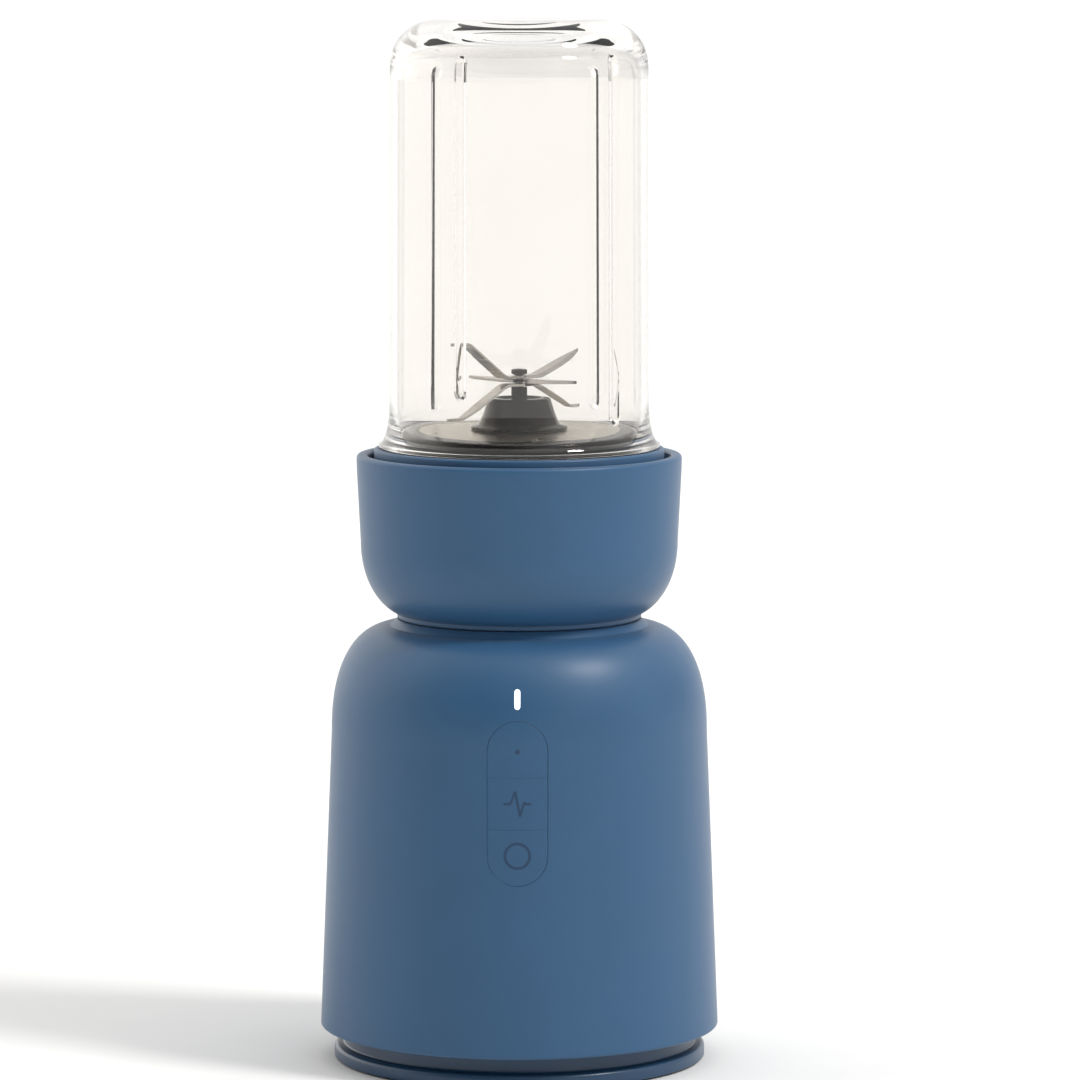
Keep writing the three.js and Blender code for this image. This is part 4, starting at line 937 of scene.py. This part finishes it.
def build_bowl():
    """The cradle bowl, and the ledges, posts and shaft seal in it."""
    round_centre = BOWL_RADIUS - BOWL_DRAFT - BOWL_ROUND_WIDTH
    shelf_z = LOCK_BOTTOM - GAP
    shelf_inner = BOWL_INNER - 4.0
    floor = BOWL_SEAT + 3.0
    seal_hole = 9.0
    outer = full_round(
        round_centre, BOWL_SIDE, BOWL_ROUND_WIDTH, -BOWL_ROUND_HEIGHT, BOWL_FULLNESS, 72, 0, 30
    )
    lip = rounded([
        (SEAT_RADIUS - 5, BOWL_SEAT, 0),
        (outer[0][0], BOWL_SEAT, 0.45),
        (outer[0][0], outer[0][1] + 0.001, 0),
    ])[1:-1]
    rim = rounded([
        (BOWL_RADIUS - BOWL_DRAFT, BOWL_SIDE, 0),
        (BOWL_RADIUS, BOWL_RIM, 1.3),
        (BOWL_INNER, BOWL_RIM, 1.3),
        (BOWL_INNER, shelf_z, 0),
    ], 8)[1:-1]
    side = [
        (BOWL_RADIUS - BOWL_DRAFT * (1 - s), BOWL_SIDE + (BOWL_RIM - 2 - BOWL_SIDE) * s)
        for s in spaced(0, 1, 10)
    ][1:-1]
    inner = full_round(
        round_centre, shelf_z, shelf_inner - round_centre, floor - shelf_z, BOWL_FULLNESS, 0, 90, 16
    )
    profile = [(seal_hole, BOWL_SEAT), (SEAT_RADIUS - 5, BOWL_SEAT)] + lip + outer + side + rim
    profile += [(BOWL_INNER, shelf_z)] + inner + [(seal_hole, floor)]
    piece("bowl_shell", turned(profile, 256), BLUE, "base", "blue_plastic", "cradle_bowl", sharp=40)
    tab_top = CAP_BOTTOM + GAP + TAB_HEIGHT
    ledge_inner, ledge_outer = CAP_SKIRT + 0.8, BOWL_INNER + 0.8
    for k in range(4):
        ledge = sector(ledge_inner, ledge_outer, tab_top + 1.5, tab_top + 4.5, 45 + 90 * k, 56)
        piece(f"bowl_ledge_{k + 1}", ledge, BLUE, "base", "blue_plastic", bevel=0.5)
    pin_radius, boss_radius = 33, 33
    guide = moved(post(2.5, 5.6, 4.5, floor - 1, shelf_z - 5.7, (0.4, 0.3)), -pin_radius)
    boss = post(0, 5.2, 4.0, floor - 1, BOWL_SEAT + 9, (0.5, 0))
    bosses = [moved(boss, 0, y) for y in (boss_radius, -boss_radius)]
    piece("bowl_posts", together(guide, *bosses), BLUE, "base", "blue_plastic")
    seal_bore, seal_plug, seal_brim = 3.3, seal_hole - GAP, 12
    seal = turned(rounded([
        (seal_bore, BOWL_SEAT - 1, 0.2), (seal_plug, BOWL_SEAT - 1, 0.3), (seal_plug, floor + GAP, 0),
        (seal_brim, floor + GAP, 0.3), (seal_brim, floor + 1.6, 0.5), (6.5, floor + 1.8, 0.5),
        (seal_bore, floor + 3, 0.3),
    ]), 96)
    piece("seal_lip", seal, RUBBER, "base", "black_rubber", "shaft_seal")


def build_lock_ring():
    """The ring that turns under the bowl's rim, with its dogs and the ramp that lifts the pin."""
    ring_inner = LOCK_OUTER - 8.5
    ring = hoop(ring_inner, LOCK_OUTER, LOCK_BOTTOM, LOCK_TOP, (0.5, 0.5, 0.6, 0.6), 192)
    piece("lock_ring_body", ring, GREY, "lock_ring", "grey_plastic", "lock_ring")
    dog_inner = CAP_SKIRT + 0.6
    for k, angle in enumerate((-15, 15, 165, 195)):
        dog = sector(dog_inner, LOCK_OUTER, LOCK_TOP - 1, LOCK_TOP + 4.6, angle, 4)
        piece(f"lock_dog_{k + 1}", dog, GREY, "lock_ring", "grey_plastic", bevel=0.5)
    ramp_inner, ramp_angle, ramp_width = 28.5, 195, 44
    ramp_shape = sector(
        ramp_inner, ring_inner + 1, LOCK_BOTTOM - 1.2, LOCK_TOP - 0.2, ramp_angle, ramp_width
    )
    piece("lock_ramp", ramp_shape, GREY, "lock_ring", "grey_plastic", bevel=0.4)


COUPLING_RADIUS = 13
DOG_INNER = 6.5
DOG_WIDTH = 28


def coupling(name, node, body, bottom, top, dog_low, dog_high, start, bore):
    """A dog coupling: a turned disc with three driving dogs."""
    disc = hoop(bore, COUPLING_RADIUS, bottom, top, (0.3, 0.8, 0.8, 0.3), 96)
    piece(name, disc, BLACK, body, "black_plastic", node)
    for k in range(3):
        dog = sector(DOG_INNER, COUPLING_RADIUS, dog_low, dog_high, start + 120 * k, DOG_WIDTH)
        piece(f"{name}_dog_{k + 1}", dog, BLACK, body, "black_plastic", bevel=0.7)


def build_couplings():
    """The motor's driving dogs, and the blade unit's driven dogs above them."""
    seat = low("drive_coupling").z
    disc_top = seat + 5
    top = high("drive_coupling").z
    coupling("drive_dogs", "drive_coupling", "rotor", seat, disc_top, disc_top - 1, top, 0, 3.3)
    driven_top = high("driven_coupling").z
    driven_low = driven_top - 6.5
    coupling(
        "driven_dogs", "driven_coupling", "blades", driven_low, driven_top,
        low("driven_coupling").z, driven_low + 1, 70, 3.0
    )


# ---- cup


def build_cap():
    """The screw cap that carries the blades: its shell, tabs, ribs, thread and gasket."""
    plug_top = high("blade_cap").z
    plug = JAR_INNER - DISC_GAP - DISC_STEEL - GAP
    web = 3.3
    roof, groove_roof = plug_top - web, CAP_GROOVE - web
    shape = turned(rounded([
        (HUB_BORE, roof, 0.2), (plug - 2.6, roof, 1.5), (plug - 2.6, groove_roof, 1.0),
        (CAP_SKIRT - 3, groove_roof, 1.5), (CAP_SKIRT - 3, CAP_BOTTOM, 0.6),
        (CAP_SKIRT, CAP_BOTTOM, 0.6), (CAP_SKIRT, CAP_BOTTOM + 20, 0.3),
        (CAP_RADIUS, CAP_BOTTOM + 21.5, 0.5), (CAP_RADIUS, CAP_TOP, 0.8), (CAP_NECK, CAP_TOP, 0.9),
        (CAP_NECK, CAP_GROOVE, 0.5), (plug, CAP_GROOVE, 0.5), (plug, plug_top, 0.6),
        (HUB_BORE, plug_top, 0.2),
    ]), 256)
    piece("cap_shell", shape, BLUE, "cup", "blue_plastic", "blade_cap")
    tab_low = CAP_BOTTOM + GAP
    for k in range(4):
        tab = sector(CAP_SKIRT - 1, BOWL_INNER - 0.7, tab_low, tab_low + TAB_HEIGHT, 90 * k, 24)
        piece(f"cap_tab_{k + 1}", tab, BLUE, "cup", "blue_plastic", bevel=0.6)
    rib_count, rib_inner, rib_width = 6, 15.5, 3.2
    ribs = [
        sector(rib_inner, plug - 2, roof - 5, roof + 0.5, 30 + 60 * k, rib_width)
        for k in range(rib_count)
    ]
    piece("cap_ribs", together(*ribs), BLUE, "cup", "blue_plastic", bevel=0.4)
    thread = bead(THREAD_RADIUS + 2 * THREAD_SIZE - 0.8, THREAD_LOW + THREAD_PITCH / 2)
    piece("cap_thread", thread, BLUE, "cup", "blue_plastic")
    gasket_inner, gasket_outer = plug + DISC_STEEL + 2 * GAP, NECK_RADIUS + 0.4
    gasket_low = CAP_GROOVE + GAP
    gasket = hoop(gasket_inner, gasket_outer, gasket_low, gasket_low + 1.4, (0.3, 0.3, 0.5, 0.5), 192)
    piece("gasket_ring", gasket, SILICONE, "gasket", "silicone_grey", "seal_gasket")


def thread_fade(share):
    """A thread's height, 0 to 1, at a share of its length: it fades in and out at its ends."""
    return max(min(1.0, THREAD_FADE * share, THREAD_FADE * (1 - share)), 0) ** 0.5


def bead(radius, start):
    """A half-buried screw thread: a round bead along a helix, rising from start."""
    steps, around = 180, 16
    vertices = []
    for i in range(steps + 1):
        turns = THREAD_TURNS * i / steps
        angle = 2 * math.pi * turns
        fade = thread_fade(i / steps)
        for k in range(around):
            a = 2 * math.pi * k / around
            r = radius + (1 - fade) * THREAD_SIZE + THREAD_SIZE * fade * math.cos(a)
            z = start + THREAD_PITCH * turns + THREAD_SIZE * fade * math.sin(a)
            vertices.append((r * math.cos(angle), r * math.sin(angle), z))
    faces = []
    for i in range(0, steps * around, around):
        faces += bridged(range(i, i + around), range(i + around, i + 2 * around), around)
    return vertices, faces


def build_disc_and_hub():
    """The steel disc on the cap's plug, its rim band painted near-black as a dark reflection, and the
    bearing hub.
    """
    disc_top = high("blade_disc").z
    disc_bottom = low("blade_disc").z
    band = high("blade_disc").x
    under = disc_top - DISC_STEEL
    plateau, edge, dip = 34.5, 0.2, 0.25
    disc = turned(rounded([
        (HUB_BORE, under, 0), (plateau + edge, under, 0), (plateau + edge, disc_top, 0),
        (plateau, disc_top, 0.3), (plateau - 0.7, disc_top - dip, 0.6), (HUB_BORE, disc_top - dip, 0),
    ], 8), 256)
    piece("steel_disc", disc, SATIN_STEEL, "cup", "steel_bright", "blade_disc")
    # The rim band is the same bright steel as the disc, painted near-black as the dark reflection of the
    # room in front.
    rim = turned(rounded([
        (plateau, under, 0), (band - DISC_STEEL, under, 1.0), (band - DISC_STEEL, disc_bottom, 0),
        (band, disc_bottom, 0.2), (band, disc_top, 1.8), (plateau, disc_top, 0),
    ], 8), 256)
    piece("steel_disc_rim_painted_reflection", rim, DARK_STEEL_AND_PAINTED_REFLECTION, "cup", "steel_bright")
    foot = low("bearing_hub").z
    top = high("bearing_hub").z
    seat = top - 12.7
    bush_bore, bore, neck, flange = 6.2, 3.2, 9.0, 16.5
    base_radius, top_radius = 13.7, 10.4
    recess = top - 0.7
    hub = turned(rounded([
        (bush_bore, foot, 0.3), (neck, foot, 0.5), (neck, seat, 0), (flange, seat, 0.35),
        (flange - 0.2, seat + 1.2, 0.6), (base_radius, seat + 2.2, 1.6), (top_radius, top, 1.1),
        (8.0, top, 0.4), (7.4, recess, 0.4), (bore, recess, 0.3), (bore, top - 4, 0),
        (bush_bore, top - 4, 0),
    ], 8), 192)
    # The hub's near-black colour is dark steel with a painted dark reflection on top.
    piece("hub_body", hub, DARK_STEEL_AND_PAINTED_REFLECTION, "cup", "steel_dark", "bearing_hub")


def hex_nut(across_flats, bottom, top, bore):
    """A hexagonal nut with chamfered corners."""
    corner = across_flats / math.sqrt(3)
    sixth = math.pi / 3

    def reshape(r, z, angle):
        flat = across_flats / 2 / math.cos((angle % sixth) - sixth / 2)
        return min(r, flat) if r > bore else r

    edge = 0.12 * across_flats / 2
    profile = [
        (bore, bottom), (corner - 2 * edge, bottom), (corner, bottom + edge),
        (corner, top - edge), (corner - 2 * edge, top), (bore, top),
    ]
    return turned(profile, 96, reshape)


def build_spindle():
    """The blades' spindle, stepped where the blades sit, and the nuts on it and on the hub."""
    lowest = low("blade_spindle").z
    top = high("blade_spindle").z
    blade_seat = low("flat_blade").z - 1.6
    radius, tip = 2.7, 1.3
    spindle = turned(rounded([
        (0, lowest, 0), (radius, lowest, 0.4), (radius, blade_seat, 0.2), (tip, blade_seat, 0),
        (tip, top, 0.4), (0, top, 0),
    ]), 64)
    piece("spindle_post", spindle, DARK_STEEL_AND_PAINTED_REFLECTION, "blades", "steel_dark", "blade_spindle")
    nut = hex_nut(4.6, low("blade_nut").z, high("blade_nut").z, tip + 0.1)
    piece("spindle_nut", nut, DARK_STEEL_AND_PAINTED_REFLECTION, "blades", "steel_dark", "blade_nut", sharp=25)
    hub_nut = hex_nut(26.0, low("hub_nut").z, high("hub_nut").z, HUB_BORE)
    piece("hub_locknut", hub_nut, STEEL, "cup", "steel_bright", "hub_nut", sharp=25)


BLADE_THICKNESS = 1.0
BLADE_HALF = 3.3
BLADE_ROOT = 7.0
BLADE_BEND = 1.2
GROUND_EDGE = 0.12
GROUND_WIDTH = 1.9
BACK_CHAMFER = 0.15


def blade_arm(reach, rise, tip_flat):
    """One arm along +X: flat at the root, bent up or down, with one ground edge."""
    tip_start = reach - tip_flat
    length = tip_start - BLADE_ROOT

    def centre_height(s):
        def bend(x):
            if abs(x) >= BLADE_BEND:
                return max(x, 0.0)
            return (x + BLADE_BEND) ** 2 / (4 * BLADE_BEND)
        slope = rise / length
        return slope * (bend(s - BLADE_ROOT) - bend(s - tip_start))

    def front(s):
        u = max(s / reach - 0.45, 0) / 0.55
        return -BLADE_HALF + 1.55 * BLADE_HALF * u ** 2.4

    def rear(s):
        u = max(s / reach - 0.6, 0) / 0.4
        return BLADE_HALF - 0.45 * BLADE_HALF * u ** 2

    stations = spaced(0, reach * 0.97, 46) + [reach * 0.985, reach * 0.997]
    vertices = []
    for s in stations:
        base = centre_height(s)
        near, far = front(s), rear(s)
        ground = min(GROUND_WIDTH, 0.45 * (far - near))
        section = [
            (near, GROUND_EDGE), (near + ground, BLADE_THICKNESS),
            (far - BACK_CHAMFER, BLADE_THICKNESS), (far, BLADE_THICKNESS - BACK_CHAMFER),
            (far, BACK_CHAMFER), (far - BACK_CHAMFER, 0), (near, 0),
        ]
        vertices += [(s, y, base + z) for y, z in section]
    around = 7
    last = (len(stations) - 1) * around
    faces = [tuple(reversed(range(around))), tuple(range(last, last + around))]
    for i in range(0, last, around):
        faces += bridged(range(i, i + around), range(i + around, i + 2 * around), around)
    return vertices, faces


def turned_by(shape, degrees, z):
    """A shape turned about Z and raised."""
    vertices, faces = shape
    turn = Matrix.Rotation(math.radians(degrees), 3, "Z")
    return [tuple(turn @ Vector(v) + Vector((0, 0, z))) for v in vertices], faces


def build_blades():
    """Three strips of two arms each: down, level and up. An arm is its reach, rise and tip."""
    flat = low("flat_blade").z
    step = BLADE_THICKNESS + GAP
    strips = [
        ("lower_blade", 217, flat - step, [(31, -11, 6), (27, -8.5, 5)]),
        ("flat_blade", 322, flat, [(23, 0.4, 0), (20.5, 0.4, 0)]),
        ("upper_blade", 216, flat + step, [(29, 12, 7), (26, 8, 0)]),
    ]
    for name, angle, level, arms in strips:
        shapes = [
            turned_by(blade_arm(*arm), angle + 180 * k, level) for k, arm in enumerate(arms)
        ]
        piece(f"ground_{name}", together(*shapes), BLADE_STEEL, "blades", "steel_bright", name, sharp=20)


# ---- jar

# Each rib's angle, and how far above the flange it starts.
RIBS = ((51, 10.0), (136, 9.0), (243, 19.0), (319, 10.0))
RIB_HEIGHT = 1.9
RIB_HALF_WIDTH = 2.1
RIB_STOP = 12.0


def jar_angles():
    """Columns round the jar, close together at the ribs."""
    angles = {round(1.5 * k, 4) for k in range(240)}
    for rib, _ in RIBS:
        angles.update(round((rib + 0.2 * k) % 360, 4) for k in range(-28, 29))
    kept = [min(angles)]
    for angle in sorted(angles):
        if angle - kept[-1] > 0.12:
            kept.append(angle)
    return [math.radians(a) for a in kept]


def rib_rise(across, z, rib_low):
    """How far a rib stands off the jar's inner wall: a round bead with round ends."""
    first = rib_low + RIB_HALF_WIDTH
    last = JAR_TOP - RIB_STOP - RIB_HALF_WIDTH
    past = max(first - z, z - last, 0.0)
    near = (across * across + past * past) / RIB_HALF_WIDTH ** 2
    return RIB_HEIGHT * (1 - near) ** 0.62 if near < 1 else 0.0


def thread_reach(z, angle):
    """The thread's radius at a height and an angle, or 0 where there's none."""
    reach = 0.0
    for lap in (0, 1):
        along = angle / (2 * math.pi) + lap
        size = THREAD_SIZE * thread_fade(along / THREAD_TURNS)
        off = z - (THREAD_LOW + THREAD_PITCH * along)
        if abs(off) < size:
            bulge = math.sqrt(size * size - off * off)
            reach = max(reach, THREAD_RADIUS - THREAD_SIZE + bulge)
    return reach


def jar_radius(r, z, angle):
    """A row's radius at an angle: the neck carries the thread, and the inner wall the ribs.

    The mouth's rounded edge counts as outside.
    """
    outside = r > JAR_RADIUS - JAR_WALL / 2 or z < JAR_MOUTH + 1
    if outside:
        return max(r, thread_reach(z, angle)) if z < FLANGE_BOTTOM - 0.5 else r
    for rib, start in RIBS:
        away = (angle - math.radians(rib) + math.pi) % (2 * math.pi) - math.pi
        r -= rib_rise(away * JAR_INNER, z, FLANGE_BOTTOM + start)
    return r


def build_jar():
    """The clear jar, mouth down: thread, flange, flare, straight wall and rounded end."""
    corner_width, corner_height, fullness, inner_fullness = 17.0, 16.6, 0.93, 0.72
    ceiling = JAR_TOP - 6.4
    outer_sag, inner_sag = 0.35, 0.9
    corner_r = JAR_RADIUS - JAR_DRAFT - corner_width
    corner_z = JAR_TOP - corner_height
    inner_width, inner_height = corner_width - JAR_WALL, corner_height - JAR_WALL
    lip_top = FLANGE_BOTTOM + 1.2
    mouth_radius = JAR_INNER + JAR_DRAFT
    flare_width, flare_height = FLANGE_RADIUS - JAR_RADIUS, FLARE_TOP - lip_top
    flare = [
        (FLANGE_RADIUS - flare_width * math.sin(a), FLARE_TOP - flare_height * math.cos(a))
        for a in spaced(0, math.pi / 2, 20)
    ]
    mouth = rounded([
        (mouth_radius, JAR_MOUTH + 4, 0), (mouth_radius, JAR_MOUTH, 0.8),
        (NECK_RADIUS, JAR_MOUTH, 0.8), (NECK_RADIUS, JAR_MOUTH + 4, 0),
    ])[1:-1]
    neck = [(NECK_RADIUS, z) for z in spaced(JAR_MOUTH + 0.9, FLANGE_BOTTOM - 0.5, 60)]
    flange = rounded([
        (NECK_RADIUS, FLANGE_BOTTOM - 2, 0), (NECK_RADIUS, FLANGE_BOTTOM, 0.4),
        (FLANGE_RADIUS, FLANGE_BOTTOM, 0.4), (FLANGE_RADIUS, lip_top, 0),
    ])[1:-1]
    wall = [
        (JAR_RADIUS - JAR_DRAFT * s, FLARE_TOP + (corner_z - FLARE_TOP) * s) for s in spaced(0, 1, 40)
    ][1:-1]
    corner = full_round(corner_r, corner_z, corner_width, corner_height, fullness, 0, 90, 30)
    dome = [(corner_r * s, JAR_TOP - outer_sag * (1 - s * s)) for s in (0.75, 0.5, 0.25, 0)]
    under = [(corner_r * s, ceiling + inner_sag * (1 - s * s)) for s in (0, 0.25, 0.5, 0.75)]
    inner_corner = full_round(
        corner_r, ceiling - inner_height, inner_width, inner_height, inner_fullness, 90, 0, 30
    )
    inner_low = JAR_MOUTH + 1.2
    inner_top = inner_corner[-1][1]
    inner_wall = [
        (JAR_INNER - JAR_DRAFT + JAR_DRAFT * 2 * s, inner_top + (inner_low - inner_top) * s)
        for s in spaced(0, 1, 200)
    ][1:]
    profile = mouth + neck + flange + flare + wall + corner + dome + under + inner_corner + inner_wall
    shape = turned(profile, reshape=jar_radius, angles=jar_angles())
    piece("jar_shell", shape, CLEAR, "jar", "clear_jar", "jar", sharp=60)


# ---- studio


def build_floor():
    """A broad pale floor with a faint mottle."""
    size = 30.0
    corners = [(-size, -size, 0), (size, -size, 0), (size, size, 0), (-size, size, 0)]
    mesh = bpy.data.meshes.new("studio_floor")
    mesh.from_pydata(corners, [], [(0, 1, 2, 3)])
    floor = bpy.data.objects.new("studio_floor", mesh)
    scene.collection.objects.link(floor)
    material, tree, shader = plain_material("floor_paper")
    shader.inputs["Roughness"].default_value = 0.85
    shader.inputs["Specular IOR Level"].default_value = 0.1
    mottle = noise(tree, own_place(tree), 30.0, 3.0)
    colour = ramp(tree, mottle, [(0.3, (0.835, 0.835, 0.83)), (0.7, (0.845, 0.845, 0.84))])
    tree.links.new(colour, shader.inputs["Base Color"])
    mesh.materials.append(material)


def toward(tree, vector, direction):
    """How nearly a direction of the world faces another: 0 behind it, 1 straight at it."""
    facing = node(tree, "VectorMath")
    facing.operation = "DOT_PRODUCT"
    facing.inputs[1].default_value = Vector(direction).normalized()
    tree.links.new(vector, facing.inputs[0])
    return spread(tree, facing.outputs["Value"], 0.0, 1.0, -1.0, 1.0)


WHITE = (1.0, 1.0, 1.0)

# Where each soft field of the surroundings lies, and its stops from far off to straight at it.
FIELDS = {
    "dark_corner": (
        (-0.40, -0.91, -0.05),
        [(0.72, WHITE), (0.85, (0.30, 0.29, 0.28)), (0.94, (0.04, 0.038, 0.035))],
    ),
    "bright_wall": ((-0.88, 0.47, 0.05), [(0.72, (0.6, 0.6, 0.6)), (0.95, (1.0, 0.975, 0.93))]),
    "right_screen": ((0.88, 0.47, 0.0), [(0.970, WHITE), (0.985, (0.50, 0.48, 0.46))]),
    "left_screen": ((-0.99, 0.1, 0.0), [(0.984, WHITE), (0.992, (0.50, 0.48, 0.46))]),
    "front_screen": ((0.80, -0.60, 0.0), [(0.970, WHITE), (0.985, (0.45, 0.43, 0.41))]),
}


def build_world():
    """Soft light from all round: brightest at the back left and darkest at the front left.

    Three soft screens, half as bright, stand at the back right, the left and the front right.
    """
    world = bpy.data.worlds.new("studio")
    scene.world = world
    world.use_nodes = True
    tree = world.node_tree
    background = tree.nodes["Background"]
    vector = own_place(tree, "Generated")
    shades = [
        ramp(tree, toward(tree, vector, direction), stops) for direction, stops in FIELDS.values()
    ]
    shade = shades[0]
    for field in shades[1:]:
        shade = multiplied(tree, shade, field)
    tree.links.new(shade, background.inputs["Color"])
    background.inputs["Strength"].default_value = 1.66


def aim(obj, place, target):
    """Puts an object at a place and turns it so that its -Z looks at a target."""
    obj.location = place
    obj.rotation_euler = (Vector(target) - Vector(place)).to_track_quat("-Z", "Y").to_euler()


def build_lights():
    """One broad key light from the right, a little to the front and well above."""
    turn, rise = math.radians(-26), math.radians(50)
    data = bpy.data.lights.new("key_light", "SUN")
    data.energy = 1.65
    data.angle = math.radians(12)
    data.color = (1.0, 0.99, 0.965)
    key = bpy.data.objects.new("key_light", data)
    scene.collection.objects.link(key)
    place = (math.cos(rise) * math.cos(turn), math.cos(rise) * math.sin(turn), math.sin(rise))
    aim(key, place, (0, 0, 0))


def build_camera():
    """A long lens two metres away, a little above the jar, looking slightly down."""
    data = bpy.data.cameras.new("camera")
    data.lens = 198.7
    data.sensor_width = 36.0
    data.clip_end = 100.0
    camera = bpy.data.objects.new("camera", data)
    scene.collection.objects.link(camera)
    distance, height = 2.0, 0.39344
    pitch, turn = math.radians(6.2), math.radians(0.4)
    aside = 0.007
    place = Vector((aside + distance * math.sin(turn), -distance * math.cos(turn), height))
    target = place + Vector((-math.sin(turn), math.cos(turn), -math.tan(pitch)))
    aim(camera, place, target)
    scene.camera = camera


dress_frame()
build_housing()
build_panel()
build_foot()
build_screws()
build_gland()
build_bowl()
build_lock_ring()
build_couplings()
build_cap()
build_disc_and_hub()
build_spindle()
build_blades()
build_jar()
build_floor()
build_world()
build_lights()
build_camera()
scene.view_settings.view_transform = "Standard"
scene.cycles.max_bounces = 40
scene.cycles.transmission_bounces = 40
scene.cycles.glossy_bounces = 20
